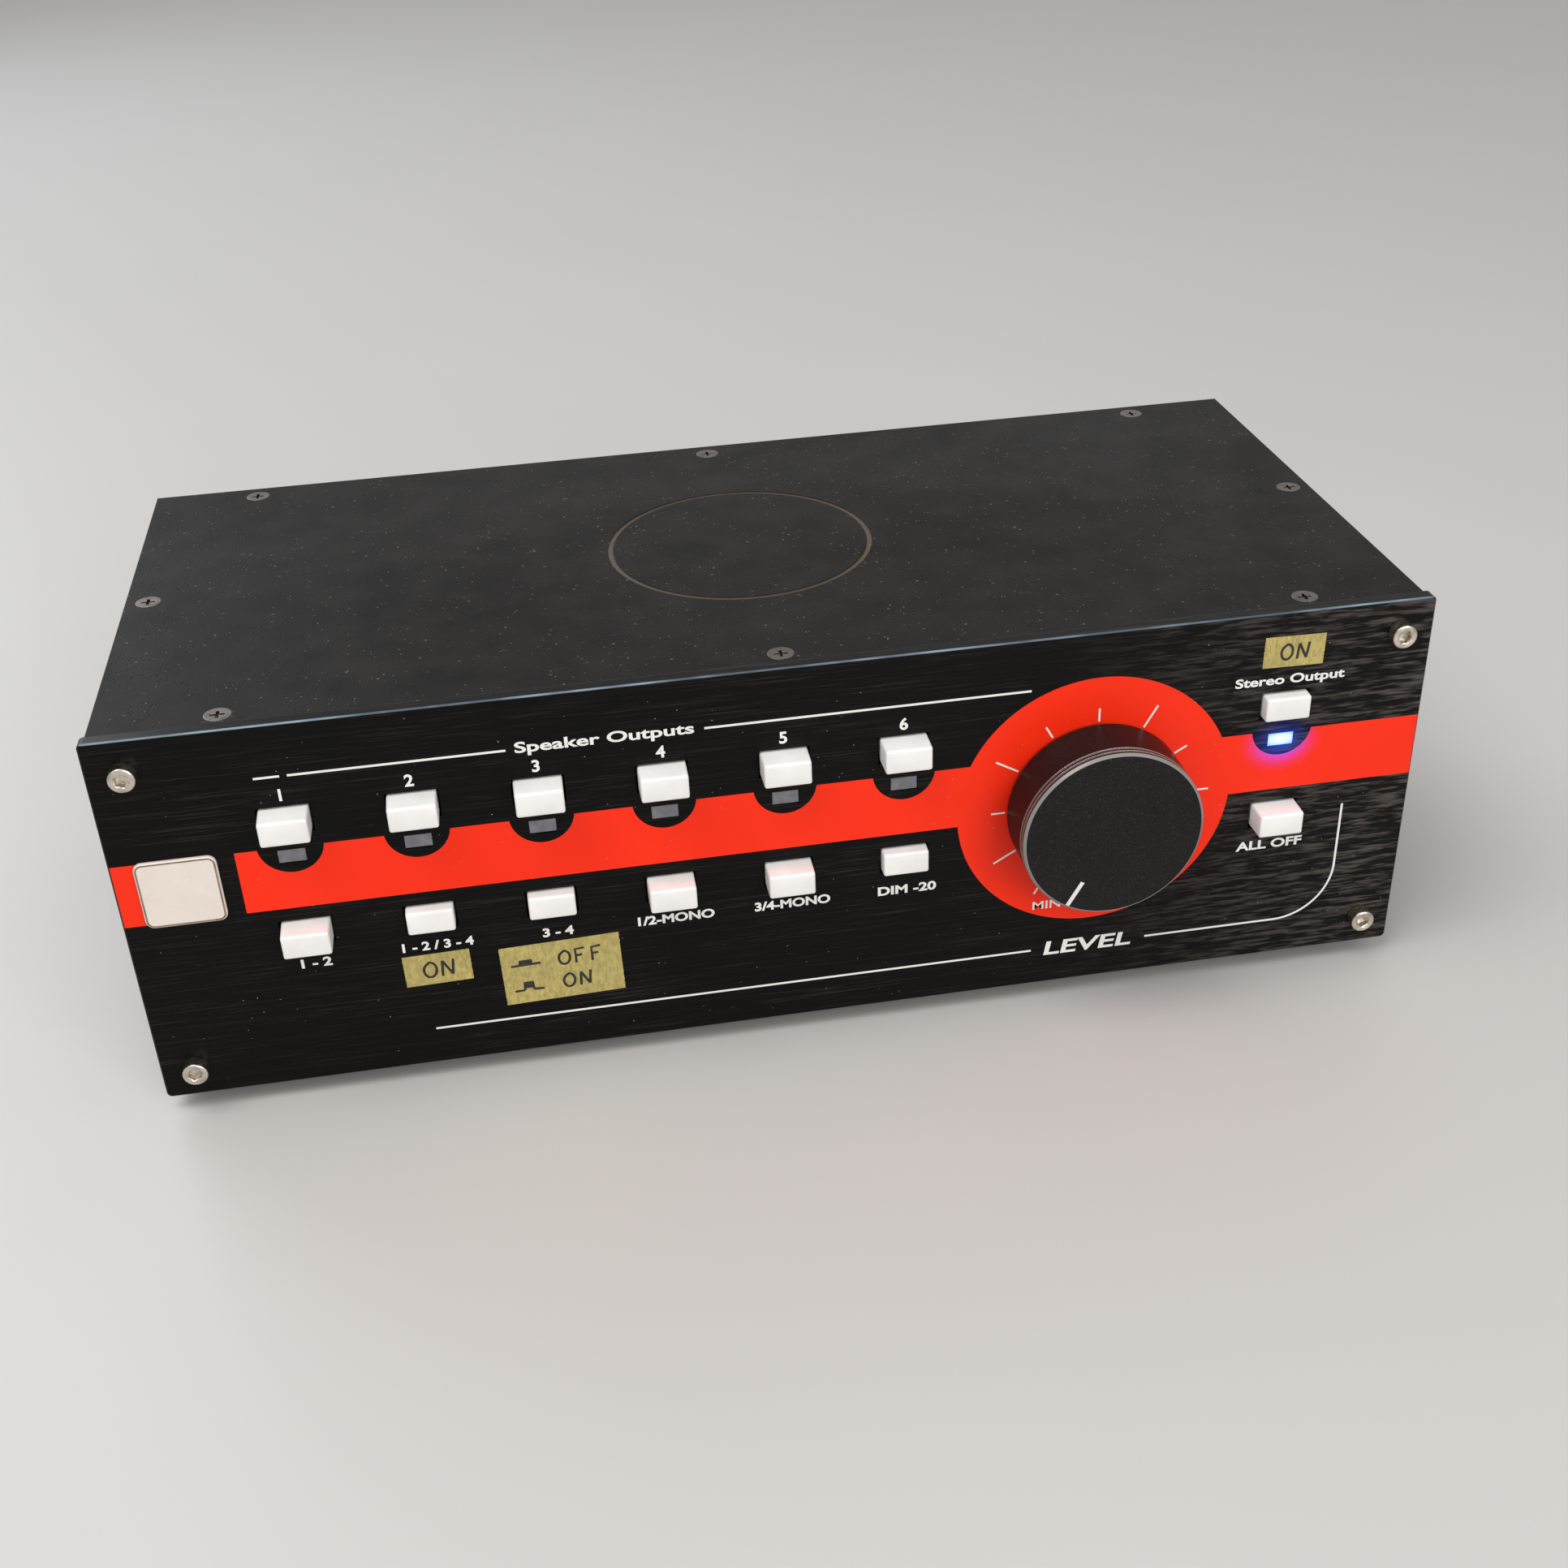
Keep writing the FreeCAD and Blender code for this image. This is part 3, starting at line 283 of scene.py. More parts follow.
def brushed_black(base, glow):
    """Black anodised aluminium, brushed along X, with pale streaks, a painted highlight towards the right
    end and a painted bluish reflection along the top edge.
    """
    made = Finish("panel_black", base, 0.24, specular=0.1)
    made.soften(0.25 * MM)
    fine = made.streaks((60.0, 900.0, 4200.0), 4.0, 0.62)
    coarse = made.streaks((22.0, 300.0, 1300.0), 3.0, 0.6)
    patch = made.streaks((30.0, 30.0, 160.0), 2.0)
    streak = made.times(made.spread(fine, 0.0, 1.0, 0.54, 0.78), made.spread(patch, 0.1, 1.0))
    # The front face carries pale streaks that grow towards its right end: a painted highlight of the
    # brushed grain.
    highlight_streaks = made.streaks((150.0, 40.0, 1500.0), 3.0, 0.55)
    highlight_towards_right = made.along("X", 0.0, 0.62, KNOB_X - 10.0 * MM, PANEL_HIGH.x - 10.0 * MM)
    front = made.along("Y", 1.0, 0.0, PANEL_LOW.y + 0.02 * MM, PANEL_LOW.y + 0.1 * MM)
    painted_highlight = made.times(made.spread(highlight_streaks, 0.0, 1.0, 0.46, 0.66), made.times(highlight_towards_right, front))
    # The pale colour holds the grain's own streaks and, towards the right end, the painted highlight.
    streak = made.math("MAXIMUM", made.times(streak, 0.34), painted_highlight)
    black = made.blend(streak, base, (0.115, 0.098, 0.088))
    # A painted bluish reflection along the top edge, broken up along X.
    edge = made.times(made.along("Z", 0.0, 1.0, PANEL_HIGH.z - 0.36 * MM, PANEL_HIGH.z - 0.28 * MM),
                      made.along("Y", 1.0, 0.0, PANEL_LOW.y + 0.3 * MM, PANEL_LOW.y + 0.4 * MM))
    reflection_breaks = made.spread(made.streaks((55.0, 10.0, 10.0), 3.0), 0.35, 1.0, 0.42, 0.6)
    made.link(made.blend(made.times(edge, reflection_breaks), black, (0.20, 0.27, 0.33)), "Base Color")
    made.link(made.spread(coarse, 0.15, 0.32), "Roughness")
    made.bump(fine, 0.035 * MM, 0.9)
    made.bump(coarse, 0.06 * MM, 0.7)
    spill_on(made, glow, 0.35)
    return made.material


def satin_case(base):
    """Fine pitted black coat with handling marks and settled dust; the cover's ring is a bare cut."""
    made = Finish("case_black", base, 0.46, specular=0.07)
    made.soften(0.3 * MM)
    pebble = made.grain(2300.0, 2.0)
    mottle = made.grain(90.0, 4.0)
    cloud = made.grain(14.0, 3.0)
    pit = made.times(made.spread(made.cells(900.0), 1.0, 0.0, 0.10, 0.30),
                     made.spread(made.grain(130.0, 2.0), 0.0, 1.0, 0.42, 0.6))
    speck = made.times(made.spread(made.cells(420.0), 1.0, 0.0, 0.06, 0.16),
                       made.spread(made.grain(150.0, 1.0), 0.0, 1.0, 0.52, 0.62))
    worn = made.blend(made.spread(mottle, 0.0, 0.9), base, shade(base, 2.4))
    pitted = made.blend(pit, worn, (0.0012, 0.0012, 0.0012))
    top = COVER_HIGH.z
    on_lid = made.along("Z", 0.0, 0.6, top - 0.03 * MM, top - 0.01 * MM)
    dusty = made.blend(made.times(speck, on_lid), pitted, (0.17, 0.155, 0.135))
    ring = made.times(made.along("Z", 1.0, 0.0, top - 0.34 * MM, top - 0.05 * MM),
                      made.along("Z", 0.0, 1.0, top - 0.42 * MM, top - 0.38 * MM))
    made.link(made.blend(ring, dusty, (0.11, 0.085, 0.066)), "Base Color")
    made.link(made.spread(cloud, 0.36, 0.52), "Roughness")
    made.bump(pebble, 0.06 * MM, 0.5)
    made.bump(pit, -0.08 * MM, 0.8)
    made.bump(mottle, 0.06 * MM, 0.2)
    return made.material


def blasted_black(base):
    """Bead-blasted black anodise; the two turned grooves by the face are bright metal."""
    made = Finish("knob_black", base, 0.42, specular=0.16)
    made.soften(0.07 * MM)
    blast = made.grain(4200.0, 2.0)
    cloud = made.grain(60.0, 3.0)
    depth = made.axis("Y")
    # The rim and the two grooves, by their depth behind the face in millimetres.
    rings = []
    for behind in (0.2, 1.32, 2.52):
        off = made.math("ABSOLUTE", made.math("SUBTRACT", depth, KNOB_LOW.y + behind * MM))
        rings.append(made.spread(off, 1.0, 0.0, 0.26 * MM, 0.34 * MM))
    bright = made.times(made.math("MAXIMUM", rings[1], rings[2]), 0.9)
    away = made.away_from((KNOB_X, 0.0, KNOB_Z), (1.0, 0.0, 1.0))
    outer = made.math("GREATER_THAN", away, KNOB_RADIUS - 0.6 * MM)
    rim = made.times(made.times(rings[0], outer), 0.45)
    polished = made.math("MAXIMUM", bright, rim)
    dark = made.blend(made.spread(cloud, 0.0, 1.0), base, shade(base, 1.6))
    # Pale specks in the base colour of the blasted face are painted glints.
    painted_glints = made.times(made.spread(blast, 0.0, 0.5, 0.62, 0.74), made.math("SUBTRACT", 1.0, polished))
    dark = made.blend(painted_glints, dark, (0.09, 0.09, 0.09))
    made.link(made.blend(polished, dark, (0.60, 0.58, 0.56)), "Base Color")
    made.link(made.times(polished, 0.85), "Metallic")
    dull = made.spread(cloud, 0.34, 0.44)
    made.link(made.math("SUBTRACT", dull, made.times(polished, 0.2)), "Roughness")
    made.bump(blast, 0.04 * MM, made.math("SUBTRACT", 0.5, made.times(polished, 0.5)))
    return made.material


def moulded(name, base, roughness, scale=1800.0, depth=0.02, soften=0.2):
    """Moulded plastic or rubber with a fine texture and slight soiling."""
    made = Finish(name, base, roughness)
    made.soften(soften * MM)
    fine = made.grain(scale, 3.0)
    broad = made.grain(120.0, 3.0)
    made.tint(broad, shade(base, 0.88), base)
    made.link(made.spread(broad, roughness - 0.06, roughness + 0.08), "Roughness")
    made.bump(fine, depth * MM, 0.3)
    return made.material


def metal(name, base, roughness, depth=0.012, soften=0.22):
    """Plated or machined metal with fine tool marks and dull spots."""
    made = Finish(name, base, roughness, metallic=1.0)
    made.soften(soften * MM)
    marks = made.grain(900.0, 4.0, 0.6)
    spots = made.spread(made.grain(420.0, 3.0), 0.0, 1.0, 0.45, 0.7)
    made.link(made.blend(spots, base, shade(base, 0.62)), "Base Color")
    made.link(made.spread(marks, roughness - 0.06, roughness + 0.1), "Roughness")
    made.bump(marks, depth * MM, 0.5)
    return made.material


def solder_mask(name):
    """Green solder mask over tracks, with the glass weave showing faintly."""
    green = (0.012, 0.075, 0.032)
    made = Finish(name, green, 0.3)
    turned = made.node("ShaderNodeMapping", {"Vector": made.place, "Rotation": (math.pi / 2, 0.0, 0.0)})
    tracks = made.node("ShaderNodeTexBrick", {
        "Vector": turned.outputs["Vector"], "Scale": 90.0, "Mortar Size": 0.06,
        "Color1": (0, 0, 0, 1), "Color2": (0, 0, 0, 1), "Mortar": (1, 1, 1, 1)}).outputs["Fac"]
    weave = made.grain(1600.0, 2.0)
    made.link(made.blend(tracks, green, (0.03, 0.16, 0.07)), "Base Color")
    made.link(made.spread(weave, 0.25, 0.38), "Roughness")
    made.bump(tracks, 0.03 * MM, 0.4)
    return made.material


def lens_grey():
    """A diffused grey LED window, clouded and finely pitted."""
    made = Finish("led_grey", (0.16, 0.16, 0.18), 0.35)
    made.set("Subsurface Weight", 0.2)
    made.set("Subsurface Radius", (0.4 * MM, 0.4 * MM, 0.4 * MM))
    made.tint(made.grain(500.0, 2.0), (0.13, 0.13, 0.15), (0.20, 0.20, 0.22))
    made.bump(made.grain(2400.0, 2.0), 0.02 * MM, 0.3)
    return made.material


def lens_lit(glow, strength):
    """A lit blue LED window, whitest at its middle."""
    made = Finish("led_blue", (0.3, 0.4, 0.9), 0.3)
    away = made.away_from(centre_of("led_lit"), (0.45, 0.0, 1.0))
    core = made.spread(away, 1.0, 0.0, 0.3 * MM, 1.7 * MM)
    made.link(made.blend(core, glow, (0.24, 0.34, 1.0)), "Emission Color")
    made.set("Emission Strength", strength)
    made.link(made.blend(made.grain(700.0, 2.0), (0.25, 0.35, 0.9), (0.35, 0.45, 1.0)), "Base Color")
    return made.material


def printed(name, base, glow=None, strength=0.0):
    """Screen-printed ink that keeps a trace of the brushed metal under it.
    With a glow colour, the ink round the lit LED carries its blue light as painted light: a glow and a
    violet tint in its base colour."""
    made = Finish(name, base, 0.42, specular=0.22)
    brushed = made.streaks((28.0, 900.0, 5200.0), 4.0, 0.62)
    ink = made.blend(made.spread(made.grain(40.0, 3.0), 0.0, 1.0), shade(base, 0.93), base)
    made.link(made.spread(brushed, 0.36, 0.5), "Roughness")
    made.bump(brushed, 0.010 * MM, 0.5)
    if glow is not None:
        # Painted blue light round the lit LED: a glow and a violet base colour.
        near = spill_on(made, glow, strength)
        ink = made.blend(made.times(near, 0.9), ink, (0.16, 0.05, 0.75))
    made.link(ink, "Base Color")
    return made.material


def crepe(base):
    """Crepe paper tape: crossways ridges, paper fibres and a slightly soiled yellow."""
    made = Finish("tape_yellow", base, 0.78, specular=0.25)
    ridges = made.streaks((1500.0, 500.0, 640.0), 4.0, 0.65)
    fibre = made.grain(1500.0, 4.0)
    soil = made.grain(180.0, 3.0)
    # The ridges' crests are painted lighter and their hollows darker: painted light and shade that follows
    # the relief.
    light = made.blend(made.spread(ridges, 0.0, 1.0, 0.35, 0.68), shade(base, 0.74), shade(base, 1.22))
    made.link(made.blend(made.spread(soil, 0.0, 0.35), light, (0.30, 0.25, 0.12)), "Base Color")
    made.bump(ridges, 0.10 * MM, 0.6)
    made.bump(fibre, 0.03 * MM, 0.4)
    return made.material


def marker_ink():
    """Felt-tip ink that has dried unevenly on paper."""
    made = Finish("marker_black", (0.012, 0.012, 0.014), 0.6)
    made.tint(made.grain(900.0, 3.0), (0.004, 0.004, 0.005), (0.022, 0.02, 0.016))
    made.bump(made.grain(2600.0, 2.0), 0.02 * MM, 0.3)
    return made.material


def badge_gloss():
    """Glossy cream plastic, slightly clouded."""
    made = Finish("badge_white", (0.74, 0.72, 0.67), 0.22)
    made.soften(0.3 * MM)
    made.tint(made.grain(160.0, 3.0), (0.74, 0.66, 0.60), (0.78, 0.705, 0.645))
    made.link(made.spread(made.grain(600.0, 2.0), 0.18, 0.3), "Roughness")
    made.bump(made.grain(1300.0, 2.0), 0.01 * MM, 0.3)
    return made.material


def dust_grey():
    """Dull grey dust, a little lighter and darker from speck to speck."""
    made = Finish("dust_grey", (0.42, 0.40, 0.37), 0.9, specular=0.1)
    made.link(made.blend(made.grain(3000.0, 2.0), (0.30, 0.29, 0.27), (0.5, 0.48, 0.44)), "Base Color")
    return made.material


# Building


def in_scene(name, data):
    """A new object with this data, linked to the scene."""
    made = bpy.data.objects.new(name, data)
    bpy.context.scene.collection.objects.link(made)
    return made


def new_piece(name, mesh, material, body="case"):
    """Adds a finished mesh to the scene, gives it its material and lets it ride on a body."""
    mesh.name = name
    piece = in_scene(name, mesh)
    mesh.materials.clear()
    mesh.materials.append(material)
    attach(piece, body)
    return piece


def evaluated_mesh(thing):
    """A plain mesh of what a curve, text or modified object shows; the source is removed."""
    bpy.context.view_layer.update()
    graph = bpy.context.evaluated_depsgraph_get()
    mesh = bpy.data.meshes.new_from_object(thing.evaluated_get(graph), depsgraph=graph)
    bpy.data.objects.remove(thing)
    return mesh


def upright(mesh, place):
    """Turns a flat mesh drawn in XY to face the front, and moves it to its place."""
    mesh.transform(Matrix.Translation(place) @ Matrix.Rotation(math.pi / 2, 4, "X"))
    return mesh


def flat_outlines(name, outlines, thickness):
    """A thin filled plate from closed outlines in XY; an outline inside another is a hole."""
    curve = bpy.data.curves.new(name, "CURVE")
    curve.dimensions = "2D"
    curve.fill_mode = "BOTH"
    curve.extrude = thickness / 2
    for outline in outlines:
        spline = curve.splines.new("POLY")
        spline.points.add(len(outline) - 1)
        for point, (x, y) in zip(spline.points, outline):
            point.co = (x, y, 0.0, 1.0)
        spline.use_cyclic_u = True
    return evaluated_mesh(in_scene(name, curve))


def print_on_panel(name, outlines, ink, material):
    """Lays filled outlines on the panel's face as one printed piece, as thick as the ink."""
    mesh = upright(flat_outlines(name, outlines, ink), (0.0, PANEL_LOW.y - ink / 2, 0.0))
    new_piece(name, mesh, material)


def arc(centre, radius, start, end, steps):
    """Points on a circle from one angle to another, in degrees."""
    return [(centre[0] + radius * math.cos(math.radians(start + (end - start) * n / steps)),
             centre[1] + radius * math.sin(math.radians(start + (end - start) * n / steps)))
            for n in range(steps + 1)]


def rounded_box(x0, y0, x1, y1, radius):
    """A closed outline of a box whose corners are round."""
    points = []
    for x, y, start in ((x1 - radius, y0 + radius, -90.0), (x1 - radius, y1 - radius, 0.0),
                        (x0 + radius, y1 - radius, 90.0), (x0 + radius, y0 + radius, 180.0)):
        points += arc((x, y), radius, start, start + 90.0, 8)
    return points


def bar(x0, x1, y, width):
    """A closed outline of a straight rule along X."""
    return [(x0, y - width / 2), (x1, y - width / 2), (x1, y + width / 2), (x0, y + width / 2)]


def flat_patch(name, x0, y0, x1, y1, z):
    """A mesh of one level rectangle."""
    mesh = bpy.data.meshes.new(name)
    mesh.from_pydata([(x0, y0, z), (x1, y0, z), (x1, y1, z), (x0, y1, z)], [], [(0, 1, 2, 3)])
    return mesh


def flat_extent(mesh):
    """The least and greatest X of a mesh, then the least and greatest Y."""
    across = [vertex.co.x for vertex in mesh.vertices]
    up = [vertex.co.y for vertex in mesh.vertices]
    return min(across), max(across), min(up), max(up)


def lettering(text, size, weight, shear=0.0):
    """A flat plate mesh of some text, centred on its own box."""
    curve = bpy.data.curves.new("lettering", "FONT")
    curve.body = text
    curve.size = size
    curve.offset = weight
    curve.shear = shear
    curve.align_x = "CENTER"
    curve.align_y = "CENTER"
    curve.extrude = 0.012 * MM
    curve.resolution_u = 6
    mesh = evaluated_mesh(in_scene("lettering", curve))
    left, right, foot, top = flat_extent(mesh)
    mesh.transform(Matrix.Translation((-(left + right) / 2, -(foot + top) / 2, 0.0)))
    return mesh


def fitted_lettering(text, width, height, weight, shear=0.0):
    """Lettering scaled to a given width and height."""
    mesh = lettering(text, height * 1.3, weight, shear)
    left, right, foot, top = flat_extent(mesh)
    mesh.transform(Matrix.Diagonal((width / (right - left), height / (top - foot), 1.0, 1.0)))
    return mesh


def joined_meshes(name, meshes):
    """One mesh out of several; the parts are removed."""
    joint = bmesh.new()
    for mesh in meshes:
        joint.from_mesh(mesh)
        bpy.data.meshes.remove(mesh)
    result = bpy.data.meshes.new(name)
    joint.to_mesh(result)
    joint.free()
    return result


def closed_mesh(name, shape, sharp):
    """A mesh of a closed bmesh, faces outwards, smooth but for edges sharper than some degrees."""
    bmesh.ops.recalc_face_normals(shape, faces=shape.faces)
    mesh = bpy.data.meshes.new(name)
    shape.to_mesh(mesh)
    shape.free()
    for face in mesh.polygons:
        face.use_smooth = True
    mesh.set_sharp_from_angle(angle=math.radians(sharp))
    return mesh


def ring_stack(name, rings, sharp):
    """A closed skin over rings of equal point counts, given from one end to the other."""
    shape = bmesh.new()
    rows = [[shape.verts.new(point) for point in ring] for ring in rings]
    count = len(rings[0])
    for low, high in zip(rows, rows[1:]):
        for n in range(count):
            shape.faces.new((low[n], low[(n + 1) % count], high[(n + 1) % count], high[n]))
    shape.faces.new(list(reversed(rows[0])))
    shape.faces.new(rows[-1])
    return closed_mesh(name, shape, sharp)


def round_ring(radius, y, count, wave=0.0):
    """A ring round the Y axis; a wave gives it a knurl."""
    points = []
    for n in range(count):
        reach = radius * (1.0 - wave * (n % 2))
        angle = math.tau * n / count
        points.append((reach * math.cos(angle), y, reach * math.sin(angle)))
    return points


def hexagon_ring(flats, y, count):
    """A hexagonal ring with as many points as the round ones, given by its width over the flats."""
    points = []
    for n in range(count):
        angle = math.tau * n / count
        local = (angle + math.pi / 6) % (math.pi / 3) - math.pi / 6
        reach = flats / 2 / math.cos(local)
        points.append((reach * math.cos(angle), y, reach * math.sin(angle)))
    return points


def copying_tree(name, inputs, output):
    """Starts a geometry tree that sets copies on points, makes them real and gives them a finish.
    It gives the tree, the node of its inputs and the node that sets the copies."""
    tree = bpy.data.node_groups.new(name, "GeometryNodeTree")
    for label, kind in inputs:
        tree.interface.new_socket(label, in_out="INPUT", socket_type="NodeSocket" + kind)
    tree.interface.new_socket(output, in_out="OUTPUT", socket_type="NodeSocketGeometry")
    add, link = tree.nodes.new, tree.links.new
    given, result = add("NodeGroupInput"), add("NodeGroupOutput")
    copies, real = add("GeometryNodeInstanceOnPoints"), add("GeometryNodeRealizeInstances")
    finish = add("GeometryNodeSetMaterial")
    link(copies.outputs["Instances"], real.inputs["Geometry"])
    link(real.outputs["Geometry"], finish.inputs["Geometry"])
    link(given.outputs["Finish"], finish.inputs["Material"])
    link(finish.outputs["Geometry"], result.inputs[output])
    return tree, given, copies


def repeat_tree():
    """Sets a copy of a piece on each point, turned and stretched by the point's own values."""
    inputs = (("Points", "Geometry"), ("Piece", "Object"), ("Finish", "Material"))
    tree, given, copies = copying_tree("repeat_on_points", inputs, "Copies")
    add, link = tree.nodes.new, tree.links.new
    points, piece = add("GeometryNodeMeshToPoints"), add("GeometryNodeObjectInfo")
    link(given.outputs["Points"], points.inputs["Mesh"])
    link(given.outputs["Piece"], piece.inputs["Object"])
    link(points.outputs["Points"], copies.inputs["Points"])
    link(piece.outputs["Geometry"], copies.inputs["Instance"])
    for name, socket in (("turn", "Rotation"), ("stretch", "Scale")):
        stored = add("GeometryNodeInputNamedAttribute")
        stored.data_type = "FLOAT_VECTOR"
        stored.inputs["Name"].default_value = name
        link(stored.outputs["Attribute"], copies.inputs[socket])
    return tree


def scatter_tree():
    """Strews thin flecks over a surface, with seeded places, turns and sizes."""
    inputs = (("Surface", "Geometry"), ("Density", "Float"), ("Length", "Float"), ("Seed", "Int"),
              ("Finish", "Material"))
    tree, given, copies = copying_tree("scatter_flecks", inputs, "Flecks")
    add, link = tree.nodes.new, tree.links.new
    strew, fleck = add("GeometryNodeDistributePointsOnFaces"), add("GeometryNodeMeshCube")
    size = add("ShaderNodeCombineXYZ")
    for name, socket in (("Surface", "Mesh"), ("Density", "Density"), ("Seed", "Seed")):
        link(given.outputs[name], strew.inputs[socket])
    link(strew.outputs["Points"], copies.inputs["Points"])
    link(fleck.outputs["Mesh"], copies.inputs["Instance"])
    # A fleck's width and thickness are shares of its length.
    link(given.outputs["Length"], size.inputs["X"])
    for axis, share in (("Y", 0.3), ("Z", 0.12)):
        part = add("ShaderNodeMath")
        part.operation = "MULTIPLY"
        part.inputs[1].default_value = share
        link(given.outputs["Length"], part.inputs[0])
        link(part.outputs[0], size.inputs[axis])
    link(size.outputs[0], fleck.inputs["Size"])
    for socket, low, high, seed in (("Rotation", (0.0, 0.0, 0.0), (0.0, 0.0, math.tau), 3),
                                    ("Scale", (0.12, 0.25, 0.5), (1.0, 1.0, 1.0), 7)):
        chance = add("FunctionNodeRandomValue")
        chance.data_type = "FLOAT_VECTOR"
        chance.inputs["Min"].default_value = low
        chance.inputs["Max"].default_value = high
        chance.inputs["Seed"].default_value = seed
        link(chance.outputs["Value"], copies.inputs[socket])
    return tree


def run_tree(tree, mesh, values):
    """Runs a node tree on a mesh and gives the plain mesh that comes out."""
    source = in_scene("tree_source", mesh)
    modifier = source.modifiers.new("tree", "NODES")
    modifier.node_group = tree
    for item in tree.interface.items_tree:
        if item.item_type == "SOCKET" and item.in_out == "INPUT" and item.name in values:
            modifier[item.identifier] = values[item.name]
    return evaluated_mesh(source)


def repeated(mesh, places, material, turns=None, stretches=None):
    """Copies of a mesh at many places, as one mesh made by the repeat tree."""
    template = in_scene("template", mesh)
    points = bpy.data.meshes.new("places")
    points.from_pydata([tuple(place) for place in places], [], [])
    for name, rows, usual in (("turn", turns, (0, 0, 0)), ("stretch", stretches, (1, 1, 1))):
        attribute = points.attributes.new(name, "FLOAT_VECTOR", "POINT")
        for n in range(len(places)):
            attribute.data[n].vector = rows[n] if rows else usual
    tree = bpy.data.node_groups.get("repeat_on_points") or repeat_tree()
    result = run_tree(tree, points, {"Piece": template, "Finish": material})
    bpy.data.objects.remove(template)
    return result


# The finishes that a later step uses again.
FINISHES = {}


def dress(material, *nodes):
    """Gives CAD nodes a finish through their objects' material slots."""
    for name in nodes:
        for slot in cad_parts[name].material_slots:
            slot.material = material


# Operators


class DressCase(bpy.types.Operator):
    """Gives the panel, case, cover, feet, badge and boards their finishes."""

    bl_idname = "controller.dress_case"
    bl_label = "Case finishes"

    def execute(self, context):
        finish = context.scene.controller_finish
        dress(brushed_black(finish.panel, finish.glow), "front_panel")
        dress(satin_case(finish.case), "chassis_tray", "top_cover", "rear_panel")
        dress(moulded("foot_rubber", (0.02, 0.02, 0.02), 0.75, 1500.0, 0.04), "feet")
        dress(solder_mask("board_green"), "control_board", "connector_board", "link_board")
        dress(metal("spacer_brass", (0.56, 0.42, 0.19), 0.3), "board_spacers")
        dress(badge_gloss(), "badge_plate")
        return {"FINISHED"}


class DressFittings(bpy.types.Operator):
    """Gives screws, switches, plungers, the control and the connectors their finishes."""

    bl_idname = "controller.dress_fittings"
    bl_label = "Fitting finishes"

    def execute(self, context):
        finish = context.scene.controller_finish
        nickel = metal("screw_nickel", (0.66, 0.60, 0.52), 0.24)
        FINISHES["nickel"] = nickel
        dress(nickel, "panel_screws", "board_screws", "pot_nut", "knob_set_screw", "multipin_posts")
        dress(metal("screw_black", (0.17, 0.15, 0.135), 0.3, depth=0.02), "cover_screws", "rear_screws")
        dress(moulded("switch_black", (0.02, 0.02, 0.02), 0.5), "switch_housings")
        plungers = [name + "_plunger" for name in BUTTONS]
        dress(moulded("plunger_grey", (0.25, 0.25, 0.25), 0.5), *plungers)
        dress(metal("pot_metal", (0.5, 0.5, 0.5), 0.32), "pot_housing", "pot_shaft")
        dress(blasted_black(finish.knob), "knob_shell")
        dress(moulded("pointer_white", (0.82, 0.82, 0.80), 0.4, depth=0.008), "knob_pointer")
        dress(metal("shell_nickel", (0.60, 0.58, 0.54), 0.28), "multipin_sockets", "jack_nuts")
        dress(moulded("jack_black", (0.018, 0.018, 0.018), 0.42), "jack_bodies", "power_inlet")
        dress(lens_grey(), "leds_unlit")
        dress(lens_lit(finish.glow, finish.glow_strength), "led_lit")
        return {"FINISHED"}


class TrimBadge(bpy.types.Operator):
    """Lays a thin metal border round the badge plate."""

    bl_idname = "controller.trim_badge"
    bl_label = "Badge border"

    def execute(self, context):
        low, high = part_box("badge_plate")
        corner = 1.8 * MM
        outlines = [rounded_box(low.x + inset, low.z + inset, high.x - inset, high.z - inset,
                                corner - inset) for inset in (0.25 * MM, 0.62 * MM)]
        mesh = upright(flat_outlines("badge_border", outlines, 0.04 * MM), (0.0, low.y, 0.0))
        bronze = metal("border_bronze", (0.38, 0.30, 0.22), 0.3, soften=0.05)
        new_piece("badge_border", mesh, bronze)
        return {"FINISHED"}


class PrintBand(bpy.types.Operator):
    """Prints the red band, its notches and the disc round the knob."""

    bl_idname = "controller.print_band"
    bl_label = "Red band"

    def execute(self, context):
        values = context.scene.controller_print
        red = printed("print_red", values.red, context.scene.controller_finish.glow, 0.9)
        low, high = PANEL_LOW.z + values.band_low, PANEL_LOW.z + values.band_high
        rim = 0.4 * MM
        left_end = PANEL_LOW.x + 6.0 * MM
        band_start = PANEL_LOW.x + 24.8 * MM
        clear_radius = 8.0 * MM
        notch_z = high + values.notch_rise
        half_angle = math.degrees(math.asin(values.notch_rise / values.notch))
        knob = (KNOB_X, KNOB_Z)
        top_meet = math.degrees(math.asin((high - KNOB_Z) / values.disc))
        low_meet = math.degrees(math.asin((low - KNOB_Z) / values.disc))

        def notch(x):
            """The cut under one upper button, from its right end to its left."""
            return arc((x, notch_z), values.notch, -half_angle, -180.0 + half_angle, 28)

        outline = [(band_start, low)]
        outline += arc(knob, values.disc, 180.0 - low_meet, 360.0 + low_meet, 96)
        outline += [(PANEL_HIGH.x - rim, low), (PANEL_HIGH.x - rim, high)]
        outline += notch(RIGHT_COLUMN)
        outline += arc(knob, values.disc, top_meet, 180.0 - top_meet, 96)
        for x in reversed(COLUMNS):
            outline += notch(x)
        outline.append((band_start, high))
        clear = arc(knob, clear_radius, 0.0, 355.0, 71)
        side = [(PANEL_LOW.x + rim, low), (left_end, low), (left_end, high), (PANEL_LOW.x + rim, high)]
        print_on_panel("red_band", [outline, clear, side], values.ink, red)
        return {"FINISHED"}


